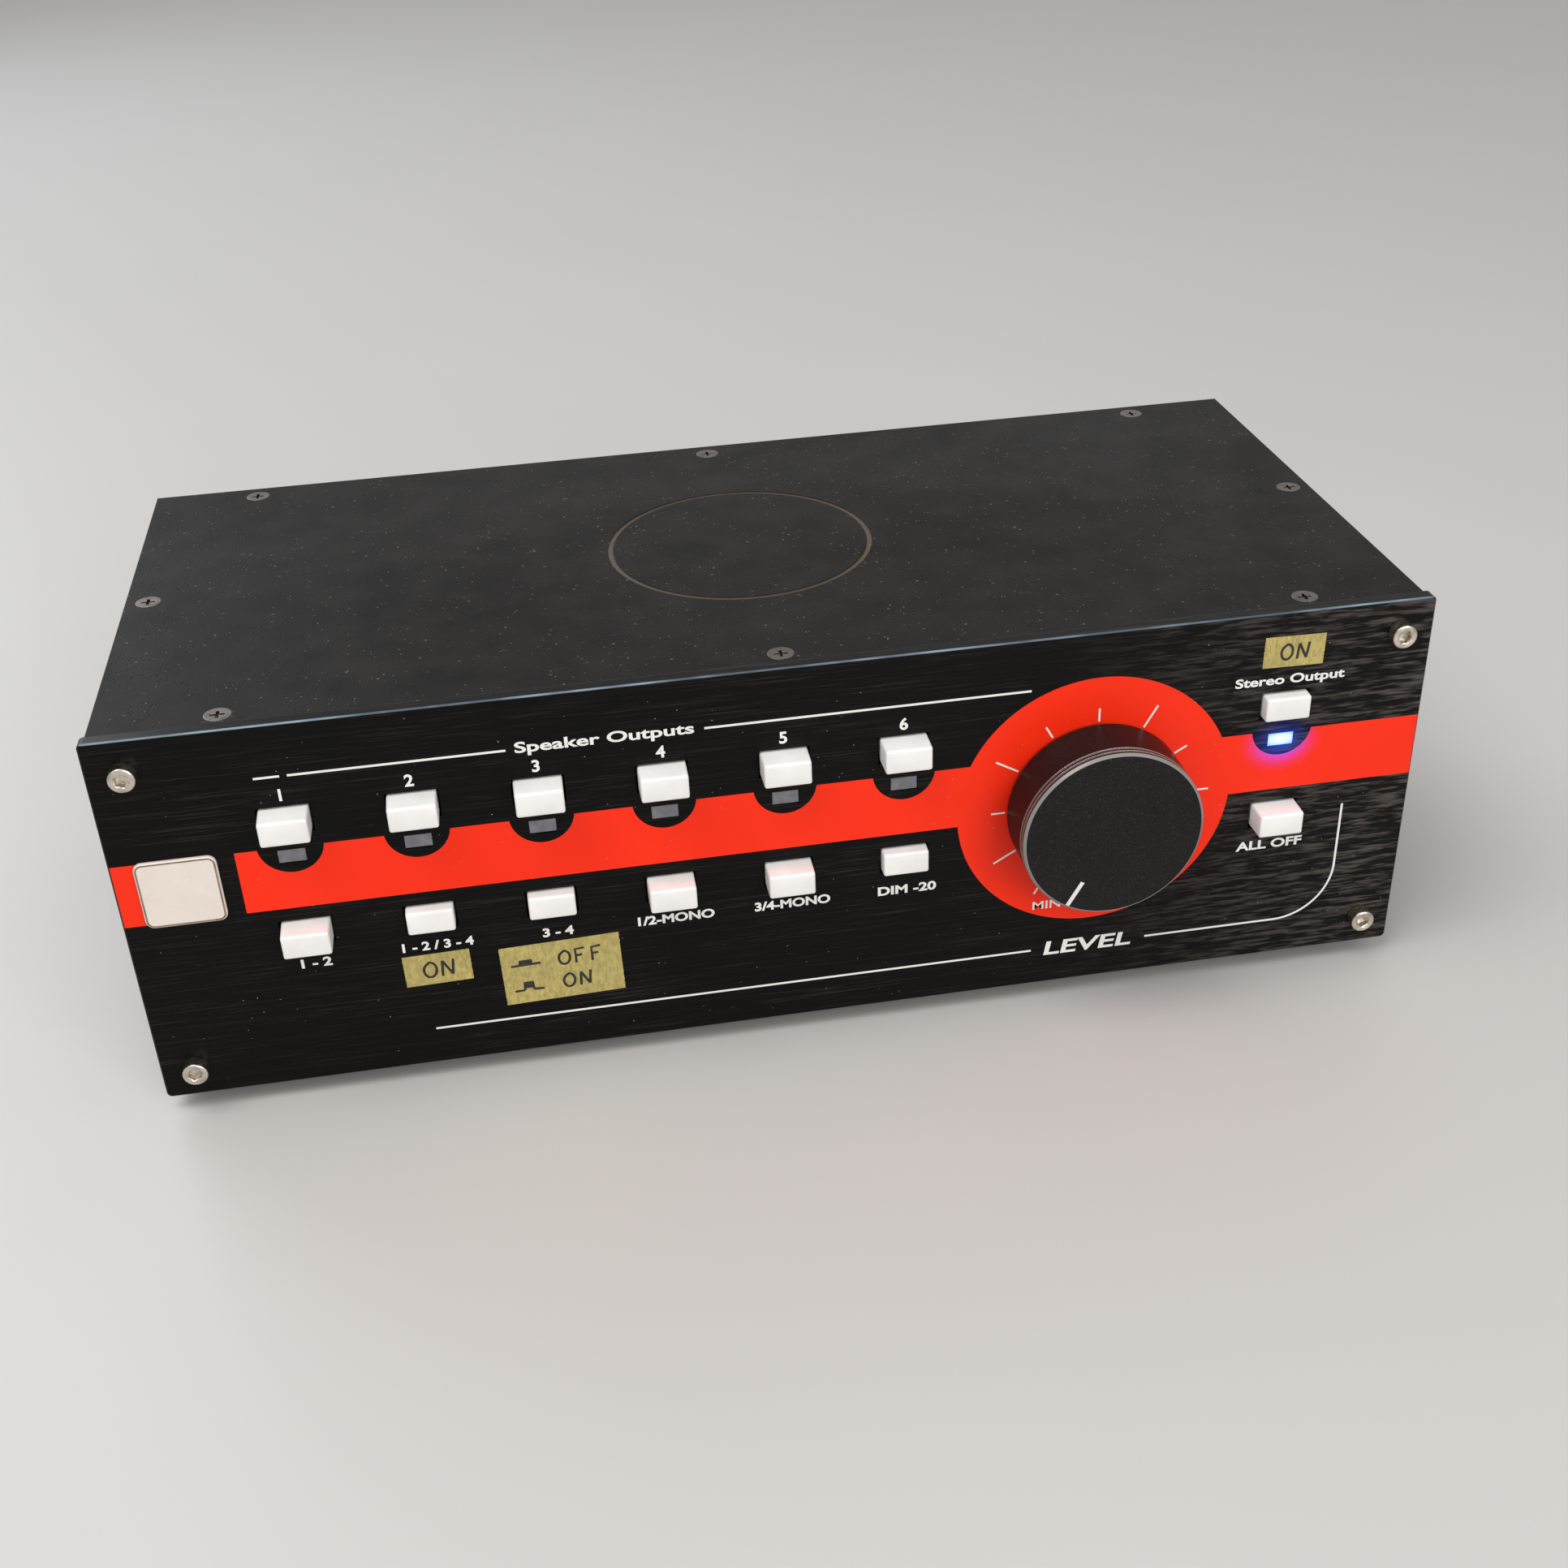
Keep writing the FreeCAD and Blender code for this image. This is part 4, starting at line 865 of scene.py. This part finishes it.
class PrintRules(bpy.types.Operator):
    """Prints the white rules above and below the buttons."""

    bl_idname = "controller.print_rules"
    bl_label = "White rules"

    def execute(self, context):
        values = context.scene.controller_print
        white = printed("print_white", values.white)
        FINISHES["white"] = white
        top = PANEL_LOW.z + HEADING_ROW * MM
        foot = PANEL_LOW.z + FOOT_ROW * MM
        half = values.rule / 2
        outlines = [bar(start * MM, end * MM, row, values.rule) for start, end, row in (
            (-107.5, -102.4, top), (-100.9, -57.8, top), (-17.5, 51.2, top), (-80.2, 53.2, foot))]
        # The last rule runs along the foot, round a corner and up the right side.
        start = 79.9 * MM
        side = 123.8 * MM
        side_top = PANEL_LOW.z + 38.8 * MM
        radius = 13.4 * MM
        turn = (side - radius, foot + radius)
        outer = arc(turn, radius + half, -90.0, 0.0, 32)
        inner = arc(turn, radius - half, 0.0, -90.0, 32)
        outlines.append([(start, foot - half), *outer, (side + half, side_top),
                         (side - half, side_top), *inner, (start, foot + half)])
        print_on_panel("white_rules", outlines, values.ink, white)
        return {"FINISHED"}


class PrintLetters(bpy.types.Operator):
    """Prints plain numbers and short generic words beside the controls."""

    bl_idname = "controller.print_letters"
    bl_label = "Numbers and words"

    def execute(self, context):
        values = context.scene.controller_print
        base = PANEL_LOW.z
        bold = 0.1 * MM
        beside = 0.6 * MM
        # Each label: its text, its width and its row, in millimetres.
        labels = (("1 - 2", 6.4, LABEL_ROW), ("1 - 2 / 3 - 4", 15.0, 31.3), ("3 - 4", 6.6, 30.8),
                  ("1/2-MONO", 16.6, LABEL_ROW), ("3/4-MONO", 16.6, LABEL_ROW),
                  ("DIM -20", 13.0, LABEL_ROW))
        # Each word: its text, its place along X in metres, then its row, width and height in
        # millimetres and its slant. A word without a width keeps the font's own.
        words = [(str(n + 1), x, NUMBER_ROW, None, 2.8, 0.0) for n, x in enumerate(COLUMNS)]
        words += [(text, x + beside, row, width, 2.3, 0.0)
                  for (text, width, row), x in zip(labels, COLUMNS)]
        words += [
            ("Speaker Outputs", -37.8 * MM, HEADING_ROW, 36.4, 3.3, 0.0),
            ("Stereo Output", RIGHT_COLUMN + beside, NUMBER_ROW, 24.4, 2.9, 0.0),
            ("ALL OFF", RIGHT_COLUMN, 30.5, 15.4, 2.4, 0.0),
            ("LEVEL", 66.4 * MM, 9.4, 20.5, 3.7, 0.12),
        ]
        meshes = []
        for text, x, row, width, height, slant in words:
            if width is None:
                mesh = lettering(text, height * MM * 1.35, bold)
            else:
                mesh = fitted_lettering(text, width * MM, height * MM, bold, slant)
            meshes.append(upright(mesh, (x, PANEL_LOW.y - values.ink / 2, base + row * MM)))
        new_piece("front_words", joined_meshes("front_words", meshes), FINISHES["white"])
        # The word by the dial lies on the red disc, so it stands off farther.
        low = fitted_lettering("MIN", 6.4 * MM, 2.1 * MM, bold * 0.35)
        upright(low, (KNOB_X - 9.8 * MM, PANEL_LOW.y - values.ink * 1.6, base + 21.6 * MM))
        new_piece("dial_word", low, FINISHES["white"])
        return {"FINISHED"}


class PrintDial(bpy.types.Operator):
    """Prints the marks round the knob, one for each step of the control."""

    bl_idname = "controller.print_dial"
    bl_label = "Dial marks"

    def execute(self, context):
        values = context.scene.controller_print
        start = 20.0 * MM
        first_angle, step_angle = 240.0, 30.0
        short, tall = 3.1 * MM, 5.7 * MM
        reaches = [tall, tall, short, tall, short, short, tall, short, tall, short, tall]
        mark = flat_outlines("mark", [bar(0.0, 1.0, 0.0, 1.0)], 1.0)
        mark.transform(Matrix.Rotation(math.pi / 2, 4, "X"))
        places, turns, stretches = [], [], []
        for step, reach in enumerate(reaches):
            angle = math.radians(first_angle - step_angle * step)
            places.append((KNOB_X + start * math.cos(angle), PANEL_LOW.y - values.ink * 1.5,
                           KNOB_Z + start * math.sin(angle)))
            turns.append((0.0, -angle, 0.0))
            stretches.append((reach, values.ink, values.mark))
        mesh = repeated(mark, places, FINISHES["white"], turns, stretches)
        new_piece("dial_marks", mesh, FINISHES["white"])
        return {"FINISHED"}


class ShapeCaps(bpy.types.Operator):
    """Replaces each plain button cap with one that has soft moulded edges."""

    bl_idname = "controller.shape_caps"
    bl_label = "Button caps"

    def execute(self, context):
        finish = context.scene.controller_finish
        white = moulded("cap_white", finish.cap, 0.34, 1400.0, 0.012, soften=0.1)
        front_draft = 0.15 * MM
        edge_radius = 0.55 * MM
        for name in BUTTONS:
            low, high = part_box(name + "_cap")
            middle = (low + high) / 2
            shape = bmesh.new()
            bmesh.ops.create_cube(shape, size=1.0)
            for vertex in shape.verts:
                draft = front_draft if vertex.co.y < 0 else 0.0
                for axis in range(3):
                    vertex.co[axis] = low[axis] if vertex.co[axis] < 0 else high[axis]
                vertex.co.x += draft if vertex.co.x < middle.x else -draft
                vertex.co.z += draft if vertex.co.z < middle.z else -draft
            front = [edge for edge in shape.edges
                     if all(end.co.y < low.y + 0.001 * MM for end in edge.verts)]
            sides = [edge for edge in shape.edges
                     if abs(edge.verts[0].co.y - edge.verts[1].co.y) > 1.0 * MM]
            bmesh.ops.bevel(shape, geom=sides + front, offset=edge_radius, segments=4, profile=0.5,
                            affect="EDGES", clamp_overlap=True)
            mesh = closed_mesh(name + "_shape", shape, 50.0)
            piece = new_piece(name + "_shape", mesh, white, name + "_button")
            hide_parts(name + "_cap")
        return {"FINISHED"}


class ShapeScrews(bpy.types.Operator):
    """Replaces the panel's plain screws with knurled heads that have a socket."""

    bl_idname = "controller.shape_screws"
    bl_label = "Panel screws"

    def execute(self, context):
        low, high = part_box("panel_screws")
        radius = 2.75 * MM
        knurl = 0.045
        socket_flats = 2.5 * MM
        rim = low.y
        base = PANEL_LOW.y
        count = 72
        # From the panel over the knurled side and the rim, then down into the socket.
        rings = [
            round_ring(radius * 0.9, base, count),
            round_ring(radius, base - 0.1 * MM, count, knurl),
            round_ring(radius, rim + 0.62 * MM, count, knurl),
            round_ring(radius * 0.985, rim + 0.42 * MM, count),
            round_ring(radius * 0.95, rim + 0.16 * MM, count),
            round_ring(radius * 0.86, rim, count),
            round_ring(1.62 * MM, rim, count),
            hexagon_ring(socket_flats + 0.12 * MM, rim + 0.16 * MM, count),
            hexagon_ring(socket_flats, rim + 0.3 * MM, count),
            hexagon_ring(socket_flats, rim + 1.55 * MM, count),
            round_ring(0.15 * MM, rim + 1.75 * MM, count),
        ]
        head = ring_stack("screw_head", rings, 30.0)
        places = [(x, 0.0, z) for x in (low.x + radius, high.x - radius)
                  for z in (low.z + radius, high.z - radius)]
        turns = [(0.0, angle, 0.0) for angle in (0.3, 0.9, 0.1, 0.6)]
        mesh = repeated(head, places, FINISHES["nickel"], turns)
        piece = new_piece("screw_heads", mesh, FINISHES["nickel"])
        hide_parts("panel_screws")
        return {"FINISHED"}


# Pen strokes of the letters and of the two switch marks, in shares of a letter's width and height.
STROKES = {
    "O": [[(0.5, 1.0), (0.15, 0.85), (0.0, 0.45), (0.2, 0.05), (0.6, 0.0), (0.9, 0.3), (0.9, 0.75),
           (0.6, 1.02), (0.4, 1.0)]],
    "N": [[(0.0, 0.0), (0.1, 1.0)], [(0.1, 1.0), (0.7, 0.05)], [(0.7, 0.05), (0.85, 1.05)]],
    "F": [[(0.1, 0.0), (0.1, 1.0), (0.8, 1.05)], [(0.1, 0.52), (0.6, 0.56)]],
    "out": [[(0.0, 0.3), (2.2, 0.32)], [(0.65, 0.35), (0.68, 0.62), (1.5, 0.62), (1.52, 0.35)],
            [(0.7, 0.45), (1.5, 0.46)], [(0.7, 0.54), (1.5, 0.53)]],
    "in": [[(0.0, 0.28), (0.75, 0.3)], [(1.45, 0.3), (2.2, 0.26)],
           [(0.75, 0.3), (0.78, 0.85), (1.4, 0.85), (1.45, 0.3)], [(0.8, 0.5), (1.4, 0.5)],
           [(0.8, 0.62), (1.4, 0.6)], [(0.8, 0.74), (1.4, 0.72)]],
}


def pen_strokes(texts, pen):
    """Hand-drawn strokes in XY: each text is letters or a mark, a place, a height and a step."""
    curve = bpy.data.curves.new("pen", "CURVE")
    curve.dimensions = "3D"
    curve.bevel_depth = pen / 2
    curve.bevel_resolution = 2
    curve.use_fill_caps = True
    for letters, x, y, height, step in texts:
        width = height * 0.8
        for index, letter in enumerate(letters):
            for stroke in STROKES[letter]:
                curved = len(stroke) > 4
                spline = curve.splines.new("NURBS" if curved else "POLY")
                spline.points.add(len(stroke) - 1)
                for point, (u, v) in zip(spline.points, stroke):
                    point.co = (x + index * step + u * width, y + v * height, 0.0, 1.0)
                if curved:
                    spline.order_u = 3
                    spline.use_endpoint_u = True
    mesh = evaluated_mesh(in_scene("pen", curve))
    flatness = 0.12
    mesh.transform(Matrix.Diagonal((1.0, 1.0, flatness, 1.0)))
    return mesh


def crepe_strip(name, width, height, thickness, seed):
    """A strip in XZ whose back is at y = 0, with fine cross ridges and torn ends."""
    across, up = 90, 40
    shape = bmesh.new()
    layers = []
    for creased in (False, True):
        rows = []
        for j in range(up + 1):
            row = []
            for i in range(across + 1):
                u, v = i / across - 0.5, j / up - 0.5
                x, z = u * width, v * height
                ragged = noise.noise(Vector((seed + math.copysign(5.0, u), z * 2600.0, 0.0)))
                # The edge value is 0 over the middle nine tenths and 1 at either end.
                edge = max(0.0, abs(u) * 2.0 - 0.9) * 10.0
                x += ragged * 0.16 * MM * edge - math.copysign(0.1 * MM, u) * edge
                y = 0.0
                if creased:
                    crease = noise.noise(Vector((x * 1900.0, z * 260.0, seed)))
                    swell = noise.noise(Vector((x * 240.0, z * 300.0, seed + 9.0)))
                    y = -thickness - 0.018 * MM * (crease + 1.0) - 0.012 * MM * (swell + 1.0)
                row.append(shape.verts.new((x, y, z)))
            rows.append(row)
        layers.append(rows)
    back, front = layers
    for rows, outwards in ((back, False), (front, True)):
        for j in range(up):
            for i in range(across):
                face = (rows[j][i], rows[j][i + 1], rows[j + 1][i + 1], rows[j + 1][i])
                shape.faces.new(face if outwards else face[::-1])
    rim_back = loop_of(back)
    rim_front = loop_of(front)
    for n in range(len(rim_back)):
        m = (n + 1) % len(rim_back)
        shape.faces.new((rim_back[n], rim_back[m], rim_front[m], rim_front[n]))
    return closed_mesh(name, shape, 60.0)


def loop_of(rows):
    """The vertices round the edge of a grid, in order."""
    bottom, top = rows[0], rows[-1]
    left = [row[0] for row in rows[1:-1]]
    right = [row[-1] for row in rows[1:-1]]
    return bottom + right + top[::-1] + left[::-1]


class LayTapes(bpy.types.Operator):
    """Replaces the plain tape plates with creased crepe tape and its handwriting."""

    bl_idname = "controller.lay_tapes"
    bl_label = "Tape labels"

    def execute(self, context):
        paper = crepe(context.scene.controller_finish.tape)
        ink = marker_ink()
        # Each tape: its width and height in millimetres, its turn in degrees and its writing.
        # Each text: its letters, its place along X and Z, its height and its step, in millimetres.
        tapes = {
            "tape_left": (14.4, 7.8, -1.2, [(("O", "N"), -3.1, -2.1, 3.9, 3.9)]),
            "tape_legend": (26.0, 15.0, -1.5, [
                (("out",), -10.8, 1.4, 3.6, 0.0), (("in",), -10.8, -5.2, 3.6, 0.0),
                (("O", "F", "F"), -0.6, 1.2, 3.5, 3.5), (("O", "N"), -0.2, -4.9, 3.5, 3.7)]),
            "tape_right": (13.6, 7.2, 1.0, [(("O", "N"), -3.0, -1.9, 3.6, 3.7)]),
        }
        thickness = 0.09 * MM
        pen = 0.56 * MM
        pen_lift = 0.150 * MM
        for order, (name, (width, height, turn, writing)) in enumerate(tapes.items()):
            middle = centre_of(name)
            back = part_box(name)[1].y
            mesh = crepe_strip(name + "_paper", width * MM, height * MM, thickness, 17.0 * order)
            place = Matrix.Translation((middle.x, back, middle.z))
            place = place @ Matrix.Rotation(math.radians(turn), 4, "Y")
            mesh.transform(place)
            piece = new_piece(name + "_paper", mesh, paper)
            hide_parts(name)
            marks = pen_strokes([(letters, x * MM, z * MM, tall * MM, step * MM)
                                 for letters, x, z, tall, step in writing], pen)
            upright(marks, (0.0, -pen_lift, 0.0))
            marks.transform(place)
            new_piece(name + "_writing", marks, ink)
        return {"FINISHED"}


class FitContacts(bpy.types.Operator):
    """Adds dark insulators and gold contact sleeves to the rear sockets."""

    bl_idname = "controller.fit_contacts"
    bl_label = "Rear contacts"

    def execute(self, context):
        low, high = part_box("multipin_sockets")
        insulator = moulded("insulator_black", (0.012, 0.014, 0.02), 0.45)
        gold = metal("contact_gold", (0.72, 0.50, 0.17), 0.25)
        middle = (low.z + high.z) / 2
        face = high.y
        contact_pitch = 2.77 * MM
        row_gap = 2.84 * MM
        holes = [(contact_pitch * (number - (count - 1) / 2), row_gap * row)
                 for row, count in ((0.5, 13), (-0.5, 12)) for number in range(count)]
        # Each insulator is wider along its top than along its foot.
        top, foot, tall = 18.45 * MM, 17.15 * MM, 3.2 * MM
        outlines, places = [], []
        for x in socket_columns():
            outlines.append([(x - foot, middle - tall), (x + foot, middle - tall),
                             (x + top, middle + tall), (x - top, middle + tall)])
            for u, v in holes:
                outlines.append(arc((x + u, middle + v), 0.56 * MM, 0.0, 337.5, 15))
                places.append((x + u, face, middle + v))
        plate = upright(flat_outlines("insulators", outlines, 0.12 * MM), (0.0, face - 0.03 * MM, 0.0))
        new_piece("socket_insulators", plate, insulator)
        # The sleeve's profile: radius and depth in millimetres, from its outer foot over its mouth.
        profile = ((0.52, -2.5), (0.52, -0.05), (0.48, -0.02), (0.34, -0.02), (0.32, -0.05),
                   (0.32, -2.4), (0.02, -2.45))
        rings = [round_ring(radius * MM, depth * MM, 16) for radius, depth in profile]
        sleeve = ring_stack("sleeve", rings, 40.0)
        new_piece("socket_contacts", repeated(sleeve, places, gold), gold)
        return {"FINISHED"}


class PrintRear(bpy.types.Operator):
    """Prints plain numbers and words over the rear connectors."""

    bl_idname = "controller.print_rear"
    bl_label = "Rear numbers"

    def execute(self, context):
        values = context.scene.controller_print
        low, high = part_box("multipin_sockets")
        jacks_low, jacks_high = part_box("jack_nuts")
        inlet = centre_of("power_inlet")
        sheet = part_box("rear_panel")[1].y + values.ink / 2
        # Each word: its text, its place along X and Z, and its height in millimetres.
        words = [(text, x, high.z + 5.2 * MM, 3.2)
                 for text, x in zip(("OUT 1 - 6", "IN B", "IN A"), socket_columns())]
        words.append(("DC", inlet.x, inlet.z + 9.6 * MM, 2.6))
        rows = (jacks_high.z + 2.9 * MM, (jacks_low.z + jacks_high.z) / 2)
        columns = (jacks_high.x - JACK_INSET, jacks_low.x + JACK_INSET)
        jacks = [(x, z) for z in rows for x in columns]
        words += [(str(n + 1), x, z, 2.6) for n, (x, z) in enumerate(jacks)]
        meshes = []
        for text, x, z, tall in words:
            mesh = lettering(text, tall * 1.3 * MM, 0.05 * MM)
            mesh.transform(Matrix.Rotation(math.pi, 4, "Z") @ Matrix.Rotation(math.pi / 2, 4, "X"))
            mesh.transform(Matrix.Translation((x, sheet, z)))
            meshes.append(mesh)
        rule = 0.4 * MM
        half_rule = 26.0 * MM
        outlines = [bar(x - half_rule, x + half_rule, low.z - 3.4 * MM, rule) for x in socket_columns()]
        outlines.append(bar(jacks_low.x - 3.0 * MM, jacks_high.x + 3.0 * MM,
                            jacks_low.z - 2.6 * MM, rule))
        meshes.append(upright(flat_outlines("lines", outlines, values.ink), (0.0, sheet, 0.0)))
        new_piece("rear_print", joined_meshes("rear_print", meshes), FINISHES["white"])
        return {"FINISHED"}


class SettleDust(bpy.types.Operator):
    """Strews fine dust over the cover and a little over the panel."""

    bl_idname = "controller.settle_dust"
    bl_label = "Dust"

    def execute(self, context):
        values = context.scene.controller_dust
        grey = dust_grey()
        inset = 2.0 * MM
        inputs = {"Density": values.density, "Length": values.speck, "Seed": values.seed,
                  "Finish": grey}
        patch = flat_patch("patch", COVER_LOW.x + inset, COVER_LOW.y + inset,
                           COVER_HIGH.x - inset, COVER_HIGH.y - inset, COVER_HIGH.z + 0.01 * MM)
        tree = scatter_tree()
        new_piece("cover_dust", run_tree(tree, patch, inputs), grey)
        inputs.update({"Density": values.front_density, "Seed": values.seed + 1})
        face = flat_patch("face", PANEL_LOW.x + inset, PANEL_LOW.z + inset,
                          PANEL_HIGH.x - inset, PANEL_HIGH.z - inset, 0.0)
        mesh = run_tree(tree, face, inputs)
        upright(mesh, (0.0, PANEL_LOW.y - context.scene.controller_print.ink * 1.2, 0.0))
        new_piece("panel_dust", mesh, grey)
        return {"FINISHED"}


class SetStage(bpy.types.Operator):
    """Adds the floor, lights, world and camera."""

    bl_idname = "controller.set_stage"
    bl_label = "Stage"

    def execute(self, context):
        values = context.scene.controller_stage
        scene = context.scene
        scene.view_settings.view_transform = "Standard"
        floor = Finish("floor_pale", values.floor, 0.42, specular=0.3)
        floor.tint(floor.grain(9.0, 3.0), shade(values.floor, 0.985), values.floor)
        floor.bump(floor.grain(1400.0, 2.0), 0.02 * MM, 0.12)
        reach = 9.0
        mesh = flat_patch("floor", -reach, -reach, reach, reach, 0.0)
        mesh.materials.append(floor.material)
        ground = in_scene("floor", mesh)
        self.light_world(scene)
        self.add_lamp("key", (-0.5, -0.35, 1.2), (0.0, 0.0, 0.05), 0.9, 11.5, (1.0, 0.985, 0.96))
        self.add_lamp("fill", (0.55, -1.25, 0.62), (0.05, 0.0, 0.05), 0.8, 10.0, (1.0, 0.97, 0.94))
        self.add_lamp("rim", (-0.75, 1.05, 0.75), (-0.1, 0.0, 0.08), 0.7, 5.0, (0.86, 0.93, 1.0))
        camera = in_scene("camera", bpy.data.cameras.new("camera"))
        camera.data.lens = values.lens
        camera.data.sensor_width = 36.0
        camera.data.clip_start = 0.02
        camera.data.clip_end = 40.0
        turn = Matrix.Rotation(-values.heading, 4, "Z")
        turn = turn @ Matrix.Rotation(math.pi / 2 - values.pitch, 4, "X")
        turn = turn @ Matrix.Rotation(-values.roll, 4, "Z")
        camera.matrix_world = Matrix.Translation(values.camera_place) @ turn
        scene.camera = camera
        return {"FINISHED"}

    def light_world(self, scene):
        """A soft grey world that the camera, reflections and glass see as brighter than it lights."""
        world = bpy.data.worlds.new("studio")
        world.use_nodes = True
        tree = world.node_tree
        backdrop = tree.nodes["Background"]
        backdrop.inputs["Color"].default_value = (0.80, 0.80, 0.80, 1.0)
        path = tree.nodes.new("ShaderNodeLightPath")
        shown = path.outputs["Is Camera Ray"]
        for ray in ("Is Glossy Ray", "Is Transmission Ray"):
            either = tree.nodes.new("ShaderNodeMath")
            either.operation = "MAXIMUM"
            tree.links.new(shown, either.inputs[0])
            tree.links.new(path.outputs[ray], either.inputs[1])
            shown = either.outputs[0]
        strength = tree.nodes.new("ShaderNodeMapRange")
        strength.inputs["To Min"].default_value = 0.55
        strength.inputs["To Max"].default_value = 0.85
        tree.links.new(shown, strength.inputs["Value"])
        tree.links.new(strength.outputs["Result"], backdrop.inputs["Strength"])
        scene.world = world

    def add_lamp(self, name, place, target, size, power, tint):
        """Adds a square lamp that faces a target."""
        lamp = bpy.data.lights.new(name, "AREA")
        lamp.shape = "SQUARE"
        lamp.size = size
        lamp.energy = power
        lamp.color = tint
        facing = (Vector(target) - Vector(place)).to_track_quat("-Z", "Y").to_matrix().to_4x4()
        in_scene(name, lamp).matrix_world = Matrix.Translation(place) @ facing


STEPS = (DressCase, DressFittings, TrimBadge, PrintBand, PrintRules, PrintLetters, PrintDial, ShapeCaps,
         ShapeScrews, LayTapes, FitContacts, PrintRear, SettleDust, SetStage)
SETTINGS = {
    "controller_print": PrintSettings,
    "controller_finish": FinishSettings,
    "controller_dust": DustSettings,
    "controller_stage": StageSettings,
}


class ControllerPanel(bpy.types.Panel):
    """Lists the sizes, colours and steps of the monitor controller."""

    bl_idname = "VIEW3D_PT_controller"
    bl_label = "Monitor controller"
    bl_space_type = "VIEW_3D"
    bl_region_type = "UI"
    bl_category = "Controller"

    def draw(self, context):
        layout = self.layout
        for name, group in SETTINGS.items():
            box = layout.box()
            for setting in group.__annotations__:
                box.prop(getattr(context.scene, name), setting)
        for step in STEPS:
            layout.operator(step.bl_idname)


CLASSES = (*SETTINGS.values(), *STEPS, ControllerPanel)


def register():
    """Registers the settings, steps and panel, and puts the settings on the scene."""
    for item in CLASSES:
        bpy.utils.register_class(item)
    for name, group in SETTINGS.items():
        setattr(bpy.types.Scene, name, PointerProperty(type=group))


def unregister():
    """Takes back what register does."""
    for name in SETTINGS:
        delattr(bpy.types.Scene, name)
    for item in reversed(CLASSES):
        bpy.utils.unregister_class(item)


def main():
    """Runs every step."""
    register()
    bpy.ops.controller.dress_case()
    bpy.ops.controller.dress_fittings()
    bpy.ops.controller.trim_badge()
    bpy.ops.controller.print_band()
    bpy.ops.controller.print_rules()
    bpy.ops.controller.print_letters()
    bpy.ops.controller.print_dial()
    bpy.ops.controller.shape_caps()
    bpy.ops.controller.shape_screws()
    bpy.ops.controller.lay_tapes()
    bpy.ops.controller.fit_contacts()
    bpy.ops.controller.print_rear()
    bpy.ops.controller.settle_dust()
    bpy.ops.controller.set_stage()


if __name__ == "__main__":
    main()
